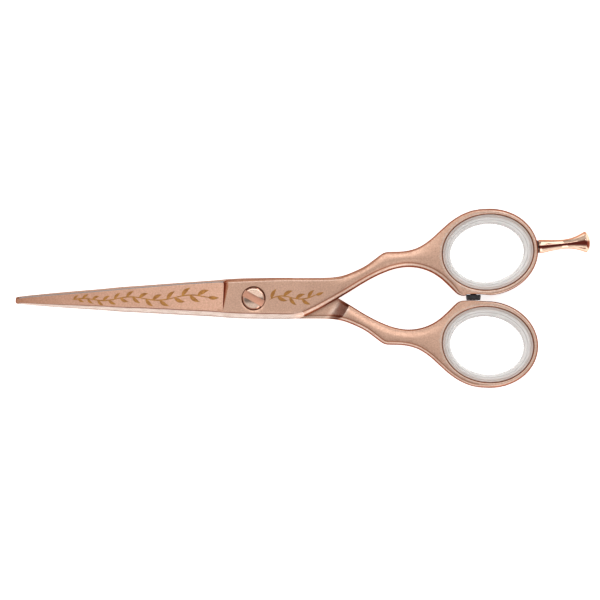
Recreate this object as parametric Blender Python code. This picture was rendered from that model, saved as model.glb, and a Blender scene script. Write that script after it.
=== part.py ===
"""Hair cutting shears, 5.5 inch, closed and lying flat.

Two forged halves turn on a slotted tension screw. Each finger ring holds a clear insert, a rubber bumper
on the finger ring meets the thumb ring, and a turned finger rest screws into the end of the finger ring.

Frame, in metres: the origin is on the pivot axis, in the plane that the shears lie on. +Z runs up the pivot
axis to the screw head, +X runs from the pivot to the finger rings, and +Y is the finger ring's side.

Each half is drawn in its own frame, where Z is 0 in the parting plane and +Z is its outer face. The thumb
half is the finger half's shape turned half a turn about X.
"""

import math

import bmesh
import bpy
from mathutils import Matrix, Vector

MM = 0.001

# Stack along the pivot, from the parting plane
HALF_THICKNESS = 2.85 * MM
RIDE_GAP = 0.1 * MM
RUNNING_GAP = 0.05 * MM

# Plan of one half, in millimetres. The blade's cutting edge faces +Y. Its back runs on as the inner edge of
# the joint plate and shank, from the heel to the finger ring, and the outer edge runs back to the heel.
HEEL_X = -7.2 * MM
INNER_EDGE = (
    (-7.2, -5.2), (2.0, -5.5), (9.0, -5.52), (12.5, -5.15), (16.6, -3.4), (22.75, 0.1), (29.0, 3.85),
    (34.0, 6.45), (37.9, 7.85), (41.3, 8.32), (44.6, 8.0), (48.0, 6.65), (51.3, 4.2), (53.5, 2.05),
    (55.1, 0.88), (57.0, 0.58), (60.0, 0.58),
)  # fmt: skip
OUTER_EDGE = (
    (60.6, 23.87), (57.9, 23.3), (55.3, 22.2), (51.3, 19.3), (47.3, 15.6), (43.3, 13.25), (39.6, 12.47),
    (36.4, 12.4), (34.9, 12.15), (31.3, 9.6), (28.6, 7.95), (25.2, 6.45), (21.9, 5.68), (17.9, 5.45),
    (7.2, 5.38), (-2.0, 5.1), (-7.2, 4.85),
)  # fmt: skip
INNER_BEVEL = 1.2 * MM
OUTER_BEVEL = 0.5 * MM
RING_BEVEL = 0.65 * MM
HEEL_BEVEL = 0.25 * MM
BEVEL_DEPTH_RATIO = 0.85

# Finger ring: an ellipse that leans away from the shears' middle
RING_CENTRE = Vector((62.65, 12.35)) * MM
RING_TILT = math.radians(7.0)
RING_OUTER = (13.42 * MM, 11.58 * MM)
RING_RECESS = (12.2 * MM, 10.1 * MM)
RING_START, RING_END = math.radians(-95.0), math.radians(85.0)
RECESS_DEPTH = 1.2 * MM
LAND_HEIGHT = 0.9 * MM
RECESS_CHAMFER = 0.35 * MM

# Blade: its back, its cutting edge and the width of the bevel from its back to its ridge, all in plan
BLADE_BACK = (
    (-63.3, -1.2), (-62.7, -1.55), (-56.9, -2.0), (-46.2, -2.78), (-30.2, -3.83), (-19.5, -4.42),
    (-3.0, -5.2),
)  # fmt: skip
BLADE_EDGE = (
    (-63.3, -0.25), (-62.7, 0.2), (-56.9, 0.68), (-46.2, 1.55), (-30.2, 2.95), (-19.5, 3.7),
    (-3.0, 4.55),
)  # fmt: skip
BLADE_BEVEL = ((-63.3, 0.35), (-60.9, 0.4), (-46.2, 0.95), (-30.2, 1.3), (-10.0, 1.42), (-3.0, 1.45))
TIP_X, BLADE_ROOT_X = -63.3 * MM, -3.0 * MM
TIP_ROUND = 0.6 * MM
RIDGE_AT_TIP, RIDGE_AT_ROOT = 0.95 * MM, 2.7 * MM
EDGE_THICKNESS = 0.12 * MM
HOLLOW_DEPTH = 0.12 * MM
RIDE_LINE_WIDTH = 0.35 * MM
BLADE_STATIONS = 14
THUMB_BLADE_LEAN = 0.0187

# Where the half-thickness joint plate grows to the full thickness of the shank
RAMP_DIRECTION = Vector((0.82, 0.57)).normalized()
RAMP_FOOT, RAMP_TOP = 19.15 * MM, 21.75 * MM

# Tension screw, with its spring washer and glide washer
HEAD_RADIUS, HEAD_BOTTOM, HEAD_TOP = 3.05 * MM, 2.15 * MM, 3.35 * MM
HEAD_EDGE = 0.25 * MM
JOURNAL_RADIUS, THREAD_RADIUS = 2.0 * MM, 1.75 * MM
SLOT_WIDTH, SLOT_DEPTH, SLOT_ANGLE = 1.9 * MM, 0.7 * MM, math.radians(-22.0)
COUNTERBORE_RADIUS, COUNTERBORE_FLOOR = 3.15 * MM, 1.7 * MM
BORE_CLEARANCE = 0.05 * MM
GLIDE_INNER, GLIDE_OUTER = 2.1 * MM, 3.6 * MM
GLIDE_TOP, GLIDE_BOTTOM = RIDE_GAP - RUNNING_GAP, -0.35 * MM
SPRING_INNER, SPRING_OUTER, SPRING_SHEET, SPRING_CONE = 2.1 * MM, 3.0 * MM, 0.2 * MM, 0.14 * MM

# Ring insert, with its rounded inside as pairs in millimetres: in from the recess, and below the face
INSERT_GAP = 0.08 * MM
INSERT_FACE = 2.55 * MM
INSERT_WIDTH = 2.42 * MM
INSERT_ROUND = ((0.08, 0.25), (0.35, 0.0), (1.15, 0.05), (1.85, 0.5), (2.3, 1.3))

# Bumper, pressed into the finger ring's inner side, along Y
BUMPER_X = 58.8 * MM
BUMPER_RADIUS, BUMPER_STEM_RADIUS = 1.97 * MM, 0.85 * MM
BUMPER_FREE_END, BUMPER_SHOULDER, BUMPER_STEM_END = -0.5 * MM, 1.0 * MM, 2.3 * MM
BUMPER_ROUND = 0.15 * MM
SOCKET_GAP = 0.04 * MM

# Finger rest, screwed into the ring's end
REST_BASE = Vector((75.95, 13.8)) * MM
REST_ANGLE = math.radians(5.6)
REST_SEAT = -0.15 * MM
REST_WASHER_THICKNESS, REST_WASHER_RADIUS = 0.4 * MM, 1.55 * MM
REST_SEAT_RADIUS, REST_HOLE_DEPTH = 1.95 * MM, 4.0 * MM
REST_STUD_RADIUS, REST_STUD_LENGTH, REST_STUD_EDGE = 1.2 * MM, 1.7 * MM, 0.2 * MM
REST_PROFILE = (
    (0.3, 1.62), (0.45, 1.78), (1.2, 1.78), (2.4, 1.64), (5.0, 1.36), (7.0, 1.25), (9.0, 1.45), (11.0, 2.02),
    (12.4, 2.66), (12.9, 2.82), (13.2, 2.8), (13.75, 2.2), (14.05, 1.2),
)  # fmt: skip
REST_DOME_TIP, REST_TIP_RADIUS = 14.15 * MM, 0.3 * MM

CUT_BEYOND = 5.0 * MM
ROUND_SEGMENTS = 40
RING_SEGMENTS = 56
SHARP_EDGE = math.radians(30)
COPPER, POLISHED = (0.72, 0.47, 0.36), (0.83, 0.56, 0.44)


def material(name, colour, roughness, metallic, alpha=1.0):
    """A Principled material, made once."""
    made = bpy.data.materials.get(name) or bpy.data.materials.new(name)
    made.use_nodes = True
    shader = made.node_tree.nodes["Principled BSDF"]
    shader.inputs["Base Color"].default_value = (*colour, 1.0)
    shader.inputs["Roughness"].default_value = roughness
    shader.inputs["Metallic"].default_value = metallic
    shader.inputs["Alpha"].default_value = alpha
    return made


def clear_scene():
    """Removes the objects of the scene that is open."""
    for obj in list(bpy.data.objects):
        bpy.data.objects.remove(obj)


def empty(name, location, rotation=(0.0, 0.0, 0.0)):
    """An empty that carries one side of the shears."""
    made = bpy.data.objects.new(name, None)
    made.location = location
    made.rotation_euler = rotation
    bpy.context.scene.collection.objects.link(made)
    return made


def object_from(name, bm, parent, finish=None):
    """The bmesh as an object on its parent, with its faces turned out."""
    bmesh.ops.recalc_face_normals(bm, faces=bm.faces)
    mesh = bpy.data.meshes.new(name)
    bm.to_mesh(mesh)
    bm.free()
    mesh.shade_smooth()
    mesh.set_sharp_from_angle(angle=SHARP_EDGE)
    made = bpy.data.objects.new(name, mesh)
    made.parent = parent
    if finish:
        mesh.materials.append(finish)
    bpy.context.scene.collection.objects.link(made)
    return made


def combine(body, tool, operation):
    """Cuts the tool from the body, or joins it to the body, and leaves the tool out of renders."""
    tool.hide_render = True
    tool.display_type = "WIRE"
    step = body.modifiers.new(tool.name, "BOOLEAN")
    step.operation = operation
    step.object = tool
    step.solver = "EXACT"


def catmull_rom(a, b, c, d, t):
    """The point at t from 0 to 1 between b and c on a Catmull-Rom curve."""
    return 0.5 * (2 * b + (c - a) * t + (2 * a - 5 * b + 4 * c - d) * t**2 + (3 * b - a - 3 * c + d) * t**3)


def smooth_curve(points, steps):
    """Points in millimetres as a smooth curve in metres, with a number of steps between each two points."""
    knots = [Vector(p) * MM for p in points]
    knots = [2 * knots[0] - knots[1], *knots, 2 * knots[-1] - knots[-2]]
    curve = [
        catmull_rom(*knots[i : i + 4], step / steps)
        for i in range(len(knots) - 3)
        for step in range(steps)
    ]
    return [*curve, knots[-2]]


def interpolated(pairs, x):
    """The height in metres at x of a line through pairs of millimetres."""
    for (x0, y0), (x1, y1) in zip(pairs, pairs[1:]):
        if x <= x1 * MM or (x1, y1) == pairs[-1]:
            share = (x - x0 * MM) / ((x1 - x0) * MM)
            return (y0 + (y1 - y0) * share) * MM


def ring_point(semi_axes, angle, offset=0.0):
    """A point in plan on an ellipse of the finger ring, moved out by an offset."""
    a, b = semi_axes
    point = Vector((a * math.cos(angle), b * math.sin(angle)))
    normal = Vector((b * math.cos(angle), a * math.sin(angle))).normalized()
    return RING_CENTRE + Matrix.Rotation(RING_TILT, 2) @ (point + normal * offset)


def add_loop(bm, plan, z):
    """A loop of vertices at one height."""
    return [bm.verts.new((x, y, z)) for x, y in plan]


def recess_loop(bm, offset, z):
    """A loop of vertices at one height round the ring's recess, moved out by an offset."""
    angles = [math.tau * i / RING_SEGMENTS for i in range(RING_SEGMENTS)]
    return add_loop(bm, [ring_point(RING_RECESS, angle, offset) for angle in angles], z)


def bridge(bm, loops, closed=False):
    """Joins each loop to the next with quads."""
    pairs = list(zip(loops, loops[1:]))
    if closed:
        pairs.append((loops[-1], loops[0]))
    for lower, upper in pairs:
        for i in range(len(lower)):
            j = (i + 1) % len(lower)
            bm.faces.new((lower[i], lower[j], upper[j], upper[i]))


def loop_edges(bm, loop):
    """The edges that join a loop's vertices in turn."""
    return [bm.edges.get(pair) or bm.edges.new(pair) for pair in zip(loop, [*loop[1:], loop[0]])]


def inset_plan(plan, widths):
    """The plan with each point moved in by its own width, square to the outline."""
    moved = []
    for i, point in enumerate(plan):
        along = (plan[(i + 1) % len(plan)] - plan[i - 1]).normalized()
        moved.append(point + Vector((-along.y, along.x)) * widths[i])
    return moved


def handle_slab(name, parent, finish):
    """Joint plate, shank and ring of one half at full thickness, with bevels and a stepped ring hole."""
    inner = smooth_curve(INNER_EDGE, 2)
    arc_steps = RING_SEGMENTS // 2
    arc = [
        ring_point(RING_OUTER, RING_START + (RING_END - RING_START) * i / arc_steps)
        for i in range(arc_steps + 1)
    ]
    outer = smooth_curve(OUTER_EDGE, 2)
    plan = inner + arc + outer
    top, bottom = (
        [HEEL_BEVEL, *[a] * (len(inner) - 1), *[RING_BEVEL] * len(arc), *[b] * (len(outer) - 1), HEEL_BEVEL]
        for a, b in ((INNER_BEVEL, OUTER_BEVEL), (OUTER_BEVEL, INNER_BEVEL))
    )
    bm = bmesh.new()
    outside = [
        add_loop(bm, inset_plan(plan, bottom), -HALF_THICKNESS),
        add_loop(bm, plan, 0.0),
        add_loop(bm, plan, 0.0),
        add_loop(bm, inset_plan(plan, top), HALF_THICKNESS),
    ]
    for vertex, width in zip(outside[1], bottom):
        vertex.co.z = -HALF_THICKNESS + width * BEVEL_DEPTH_RATIO
    for vertex, width in zip(outside[2], top):
        vertex.co.z = HALF_THICKNESS - width * BEVEL_DEPTH_RATIO
    bridge(bm, outside)
    mouth = HALF_THICKNESS - RECESS_CHAMFER
    land = HALF_THICKNESS - RECESS_DEPTH
    steps = ((RECESS_CHAMFER, HALF_THICKNESS), (0.0, mouth), (0.0, land), (-LAND_HEIGHT, land))
    steps = [(offset, -z) for offset, z in steps] + list(reversed(steps))
    hole = [recess_loop(bm, offset, z) for offset, z in steps]
    bridge(bm, hole)
    for end in (0, -1):
        edges = loop_edges(bm, outside[end]) + loop_edges(bm, hole[end])
        bmesh.ops.triangle_fill(bm, edges=edges, use_beauty=True)
    return object_from(name, bm, parent, finish)


def blade_section(x, lean):
    """The corners of the blade's section at x, from its back over the ridge to the cutting edge."""
    share = (x - TIP_X) / (BLADE_ROOT_X - TIP_X)
    ridge = RIDGE_AT_TIP + (RIDGE_AT_ROOT - RIDGE_AT_TIP) * share
    shift = lean * max(0.0, HEEL_X - x)
    back = interpolated(BLADE_BACK, x) + shift
    edge = interpolated(BLADE_EDGE, x) + shift
    bevel = interpolated(BLADE_BEVEL, x)
    corners = (
        (back, RIDE_GAP),
        (back, ridge - bevel * BEVEL_DEPTH_RATIO),
        (back + bevel, ridge),
        (edge, RIDE_GAP + EDGE_THICKNESS),
        (edge, RIDE_GAP),
        (edge - RIDE_LINE_WIDTH, RIDE_GAP),
        ((edge + back) / 2, RIDE_GAP + HOLLOW_DEPTH),
        (back + RIDE_LINE_WIDTH, RIDE_GAP),
    )
    return [Vector((x, y, z)) for y, z in corners]


def blade_body(name, parent, lean):
    """The blade from its tip into the joint plate, as a loft through its sections."""
    length = BLADE_ROOT_X - TIP_X - TIP_ROUND
    xs = [TIP_X, *[TIP_X + TIP_ROUND + length * i / BLADE_STATIONS for i in range(BLADE_STATIONS + 1)]]
    bm = bmesh.new()
    loops = [[bm.verts.new(corner) for corner in blade_section(x, lean)] for x in xs]
    bridge(bm, loops)
    bm.faces.new(loops[0])
    bm.faces.new(loops[-1])
    return object_from(name, bm, parent)


def undercut(name, parent):
    """Cutter that clears the far side of the parting plane, from beyond the tip to the ramp."""
    across = Vector((-RAMP_DIRECTION.y, RAMP_DIRECTION.x))
    reach, width, below = 90 * MM, 40 * MM, 3 * MM
    bm = bmesh.new()
    profile = (
        (-reach, RIDE_GAP), (RAMP_FOOT, RIDE_GAP), (RAMP_TOP, -HALF_THICKNESS - RIDE_GAP),
        (RAMP_TOP, -below), (-reach, -below),
    )  # fmt: skip
    loops = [
        [bm.verts.new((*(RAMP_DIRECTION * s + across * side), z)) for s, z in profile]
        for side in (-width, width)
    ]
    bridge(bm, loops)
    bm.faces.new(loops[0])
    bm.faces.new(loops[1])
    return object_from(name, bm, parent)


def turned(name, profile, parent, finish=None, closed=False):
    """A piece turned about Z from (radius, z) corners, with a flat face at each end unless it is closed."""
    bm = bmesh.new()
    angles = [math.tau * i / ROUND_SEGMENTS for i in range(ROUND_SEGMENTS)]
    loops = [add_loop(bm, [(r * math.cos(a), r * math.sin(a)) for a in angles], z) for r, z in profile]
    bridge(bm, loops, closed)
    if not closed:
        bm.faces.new(loops[0])
        bm.faces.new(loops[-1])
    return object_from(name, bm, parent, finish)


def pivot_screw(parent, finish):
    """Slotted head, smooth journal for the finger half and a plain core where the thread is."""
    profile = (
        (THREAD_RADIUS - HEAD_EDGE, -HALF_THICKNESS),
        (THREAD_RADIUS, -HALF_THICKNESS + HEAD_EDGE),
        (THREAD_RADIUS, GLIDE_BOTTOM),
        (JOURNAL_RADIUS, GLIDE_BOTTOM),
        (JOURNAL_RADIUS, HEAD_BOTTOM),
        (HEAD_RADIUS, HEAD_BOTTOM),
        (HEAD_RADIUS, HEAD_TOP - HEAD_EDGE),
        (HEAD_RADIUS - HEAD_EDGE, HEAD_TOP),
    )
    screw = turned("pivot_screw", profile, parent, finish)
    bm = bmesh.new()
    bmesh.ops.create_cube(bm, size=1.0)
    size = Vector((3 * HEAD_RADIUS, SLOT_WIDTH, 2 * SLOT_DEPTH))
    bmesh.ops.transform(bm, matrix=Matrix.Diagonal((*size, 1.0)), verts=bm.verts)
    slot = object_from("cut_screw_slot", bm, parent)
    slot.location.z = HEAD_TOP
    slot.rotation_euler.z = SLOT_ANGLE
    combine(screw, slot, "DIFFERENCE")
    return screw


def spring_washer(parent, finish):
    """Conical spring washer under the screw head."""
    low = COUNTERBORE_FLOOR + RUNNING_GAP
    profile = (
        (SPRING_OUTER, low),
        (SPRING_OUTER, low + SPRING_SHEET),
        (SPRING_INNER, low + SPRING_SHEET + SPRING_CONE),
        (SPRING_INNER, low + SPRING_CONE),
    )
    return turned("spring_washer", profile, parent, finish, closed=True)


def glide_washer(parent, finish):
    """Flat nylon washer in the thumb half's recess."""
    profile = (
        (GLIDE_INNER, GLIDE_BOTTOM),
        (GLIDE_OUTER, GLIDE_BOTTOM),
        (GLIDE_OUTER, GLIDE_TOP),
        (GLIDE_INNER, GLIDE_TOP),
    )
    return turned("glide_washer", profile, parent, finish, closed=True)


def ring_insert(name, parent, finish):
    """Clear insert: two flanges in the ring's recesses, a groove over the land, and a rounded inside."""
    land_side = HALF_THICKNESS - RECESS_DEPTH
    groove = -LAND_HEIGHT - INSERT_GAP
    upper = (
        (groove, 0.0),
        (groove, land_side + INSERT_GAP),
        (-INSERT_GAP, land_side + INSERT_GAP),
        *[(-inward * MM, INSERT_FACE - below * MM) for inward, below in INSERT_ROUND],
    )
    section = [*upper, (-INSERT_WIDTH, 0.0), *[(offset, -z) for offset, z in reversed(upper[1:])]]
    bm = bmesh.new()
    bridge(bm, [recess_loop(bm, offset, z) for offset, z in section], closed=True)
    return object_from(name, bm, parent, finish)


def bumper(parent, finish):
    """Rubber bumper: a short cylinder along Y with a stem in the ring."""
    profile = (
        (BUMPER_RADIUS - BUMPER_ROUND, -BUMPER_FREE_END),
        (BUMPER_RADIUS, -BUMPER_FREE_END - BUMPER_ROUND),
        (BUMPER_RADIUS, -BUMPER_SHOULDER + SOCKET_GAP),
        (BUMPER_STEM_RADIUS, -BUMPER_SHOULDER + SOCKET_GAP),
        (BUMPER_STEM_RADIUS, -BUMPER_STEM_END),
    )
    return place_bumper(turned("bumper", profile, parent, finish))


def place_bumper(obj):
    """Turns a piece made along Z so that its +Z points out of the ring, along -Y."""
    obj.location.x = BUMPER_X
    obj.rotation_euler.x = math.radians(90)
    return obj


def bumper_socket(parent):
    """Cutter for the bumper's seat and its stem's blind hole."""
    profile = (
        (BUMPER_RADIUS + SOCKET_GAP, CUT_BEYOND),
        (BUMPER_RADIUS + SOCKET_GAP, -BUMPER_SHOULDER),
        (BUMPER_STEM_RADIUS + SOCKET_GAP, -BUMPER_SHOULDER),
        (BUMPER_STEM_RADIUS + SOCKET_GAP, -BUMPER_STEM_END - SOCKET_GAP),
    )
    return place_bumper(turned("cut_bumper_socket", profile, parent))


def place_rest(obj):
    """Turns a piece made along Z so that its +Z runs out along the finger rest's axis."""
    obj.location = (*REST_BASE, 0.0)
    obj.rotation_euler = (math.radians(90), 0.0, math.radians(90) + REST_ANGLE)
    return obj


def finger_rest(parent, finish):
    """Turned finger rest: flared end, slim waist, round foot and a stud."""
    foot = REST_SEAT + RUNNING_GAP + REST_WASHER_THICKNESS + RUNNING_GAP
    profile = [
        (REST_STUD_RADIUS - REST_STUD_EDGE, REST_SEAT - REST_STUD_LENGTH),
        (REST_STUD_RADIUS, REST_SEAT - REST_STUD_LENGTH + REST_STUD_EDGE),
        (REST_STUD_RADIUS, foot),
        *[(r * MM, s * MM) for s, r in REST_PROFILE if s * MM > foot],
        (REST_TIP_RADIUS, REST_DOME_TIP),
    ]
    return place_rest(turned("finger_rest", profile, parent, finish))


def rest_washer(parent, finish):
    """Thin rubber washer between the finger rest and the ring."""
    low = REST_SEAT + RUNNING_GAP
    high = low + REST_WASHER_THICKNESS
    inner = REST_STUD_RADIUS + RUNNING_GAP
    profile = ((inner, low), (REST_WASHER_RADIUS, low), (REST_WASHER_RADIUS, high), (inner, high))
    return place_rest(turned("finger_rest_washer", profile, parent, finish, closed=True))


def rest_hole(parent):
    """Cutter for the finger rest's threaded hole and the flat that its washer seats on."""
    profile = (
        (REST_STUD_RADIUS + BORE_CLEARANCE, -REST_HOLE_DEPTH),
        (REST_STUD_RADIUS + BORE_CLEARANCE, REST_SEAT),
        (REST_SEAT_RADIUS, REST_SEAT),
        (REST_SEAT_RADIUS, CUT_BEYOND),
    )
    return place_rest(turned("cut_rest_hole", profile, parent))


def finger_half(parent, finish):
    """The half with the screw head's counterbore, the bumper's socket and the finger rest's hole."""
    body = handle_slab("finger_blade", parent, finish)
    combine(body, undercut("cut_finger_joint", parent), "DIFFERENCE")
    combine(body, blade_body("join_finger_blade", parent, 0.0), "UNION")
    bore = (
        (JOURNAL_RADIUS + BORE_CLEARANCE, -CUT_BEYOND),
        (JOURNAL_RADIUS + BORE_CLEARANCE, COUNTERBORE_FLOOR),
        (COUNTERBORE_RADIUS, COUNTERBORE_FLOOR),
        (COUNTERBORE_RADIUS, CUT_BEYOND),
    )
    combine(body, turned("cut_finger_bore", bore, parent), "DIFFERENCE")
    combine(body, bumper_socket(parent), "DIFFERENCE")
    combine(body, rest_hole(parent), "DIFFERENCE")
    return body


def thumb_half(parent, finish):
    """The half with the screw's threaded hole and the glide washer's recess. Its own +Z points down."""
    body = handle_slab("thumb_blade", parent, finish)
    combine(body, undercut("cut_thumb_joint", parent), "DIFFERENCE")
    combine(body, blade_body("join_thumb_blade", parent, THUMB_BLADE_LEAN), "UNION")
    recess_floor = RUNNING_GAP - GLIDE_BOTTOM
    bore = (
        (GLIDE_OUTER + RUNNING_GAP, -CUT_BEYOND),
        (GLIDE_OUTER + RUNNING_GAP, recess_floor),
        (THREAD_RADIUS + BORE_CLEARANCE, recess_floor),
        (THREAD_RADIUS + BORE_CLEARANCE, CUT_BEYOND),
    )
    combine(body, turned("cut_thumb_bore", bore, parent), "DIFFERENCE")
    return body


def main():
    """Builds the shears."""
    clear_scene()
    satin = material("satin_copper", COPPER, 0.34, 1.0)
    polished = material("polished_copper", POLISHED, 0.1, 1.0)
    steel = material("spring_steel", (0.6, 0.6, 0.61), 0.25, 1.0)
    nylon = material("white_nylon", (0.9, 0.9, 0.88), 0.45, 0.0)
    silicone = material("clear_silicone", (0.86, 0.87, 0.86), 0.2, 0.0, alpha=0.6)
    rubber = material("black_rubber", (0.02, 0.02, 0.022), 0.55, 0.0)

    finger_side = empty("finger_side", (0.0, 0.0, HALF_THICKNESS))
    thumb_side = empty("thumb_side", (0.0, 0.0, HALF_THICKNESS), (math.pi, 0.0, 0.0))
    finger_half(finger_side, satin)
    thumb_half(thumb_side, satin)
    pivot_screw(finger_side, polished)
    spring_washer(finger_side, steel)
    glide_washer(finger_side, nylon)
    ring_insert("finger_insert", finger_side, silicone)
    ring_insert("thumb_insert", thumb_side, silicone)
    bumper(finger_side, rubber)
    finger_rest(finger_side, polished)
    rest_washer(finger_side, rubber)


main()
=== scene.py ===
"""Looks of the hair cutting shears: satin copper halves, clear inserts, polished fittings and a studio.

Sizes are in millimetres in a half's own frame: Z is 0 in the parting plane and +Z is towards that half's
outer face. The finger half stands upright on the pivot axis, and the thumb half is turned half a turn
about X.
"""

from __future__ import annotations

import logging
import math
from collections.abc import Callable, Sequence
from dataclasses import dataclass
from enum import Enum

import bmesh
import bpy
import numpy as np
from mathutils import Matrix, Vector
from mathutils.geometry import delaunay_2d_cdt


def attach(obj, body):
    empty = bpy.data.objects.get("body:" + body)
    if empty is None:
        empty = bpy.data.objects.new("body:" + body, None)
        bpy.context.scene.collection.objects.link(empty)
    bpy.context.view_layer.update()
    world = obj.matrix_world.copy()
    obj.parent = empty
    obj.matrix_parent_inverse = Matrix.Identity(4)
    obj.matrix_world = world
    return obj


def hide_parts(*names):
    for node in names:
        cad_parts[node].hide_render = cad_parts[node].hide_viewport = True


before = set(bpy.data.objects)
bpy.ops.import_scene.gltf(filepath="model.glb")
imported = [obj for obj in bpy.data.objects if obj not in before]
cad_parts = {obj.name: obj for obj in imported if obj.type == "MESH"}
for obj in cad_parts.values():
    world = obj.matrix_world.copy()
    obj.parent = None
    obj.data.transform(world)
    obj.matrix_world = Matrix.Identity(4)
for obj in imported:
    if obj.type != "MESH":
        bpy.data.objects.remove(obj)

LOG = logging.getLogger("shears")
MM = 0.001
PARTING_Z = 2.85
CRISP = 32.0
TIP_X = -62.75
Point = tuple[float, float]
Colour = tuple[float, float, float]


# --------------------------------------------------------------------------------------------------
# Curves and meshes
# --------------------------------------------------------------------------------------------------


def flowing(points: Sequence[Point], steps: int = 10) -> np.ndarray:
    """Runs a smooth curve through points.

    Args:
        points: Points that the curve passes through.
        steps: Steps between each two points.

    Returns:
        The curve as rows of x and y.
    """
    p = np.array(points, float)
    p = np.vstack([2 * p[0] - p[1], p, 2 * p[-1] - p[-2]])
    t = np.linspace(0, 1, steps, endpoint=False)[:, None]
    parts = [
        0.5 * (2 * b + (c - a) * t + (2 * a - 5 * b + 4 * c - d) * t**2 + (3 * b - a - 3 * c + d) * t**3)
        for a, b, c, d in zip(p, p[1:], p[2:], p[3:])
    ]
    return np.vstack([*parts, p[-2:-1]])


def evenly(points: np.ndarray, step: float, closed: bool = False) -> np.ndarray:
    """Spaces points evenly along a line.

    Args:
        points: The line's points.
        step: Distance between the new points.
        closed: Whether the line returns to its first point.

    Returns:
        The new points. A closed line's last point stops short of its first.
    """
    line = np.vstack([points, points[:1]]) if closed else points
    run = np.concatenate([[0.0], np.cumsum(np.linalg.norm(np.diff(line, axis=0), axis=1))])
    count = max(2, round(run[-1] / step))
    at = np.linspace(0, run[-1], count + 1)
    if closed:
        at = at[:-1]
    return np.column_stack([np.interp(at, run, line[:, k]) for k in range(line.shape[1])])


def smoothed(values: np.ndarray, reach: int) -> np.ndarray:
    """Averages each row of a closed run of values with its neighbours.

    Args:
        values: One row for each point of a closed line.
        reach: Neighbours taken on each side.

    Returns:
        The softened values.
    """
    kernel = np.hanning(2 * reach + 3)[1:-1]
    kernel /= kernel.sum()
    flat = values.reshape(len(values), -1)
    padded = np.vstack([flat[-reach:], flat, flat[:reach]])
    out = np.column_stack([np.convolve(padded[:, k], kernel, mode="valid") for k in range(flat.shape[1])])
    return out.reshape(values.shape)


def ease(value: np.ndarray | float, low: float, high: float) -> np.ndarray:
    """Rises smoothly from 0 at low to 1 at high."""
    t = np.clip((np.asarray(value, float) - low) / (high - low), 0, 1)
    return t * t * (3 - 2 * t)


def reach_to(points: np.ndarray, line: np.ndarray) -> np.ndarray:
    """Measures how far points are from a line.

    Args:
        points: Rows of x and y.
        line: The line's points, close together.

    Returns:
        The distance of each point to the nearest part of the line.
    """
    best = np.full(len(points), np.inf)
    for a, b in zip(line, line[1:]):
        along = b - a
        share = np.clip(((points - a) @ along) / max(along @ along, 1e-12), 0, 1)
        best = np.minimum(best, np.linalg.norm(points - a - share[:, None] * along, axis=1))
    return best


def enclosed(points: np.ndarray, loop: np.ndarray) -> np.ndarray:
    """Tells which points lie inside a closed loop.

    Args:
        points: Rows of x and y.
        loop: The loop's points.

    Returns:
        True for each point inside.
    """
    x, y = points[:, 0], points[:, 1]
    inside = np.zeros(len(points), bool)
    for (x0, y0), (x1, y1) in zip(loop, np.roll(loop, -1, axis=0)):
        if y0 == y1:
            continue
        crosses = (y0 > y) != (y1 > y)
        inside ^= crosses & (x < (x1 - x0) * (y - y0) / (y1 - y0) + x0)
    return inside


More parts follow.
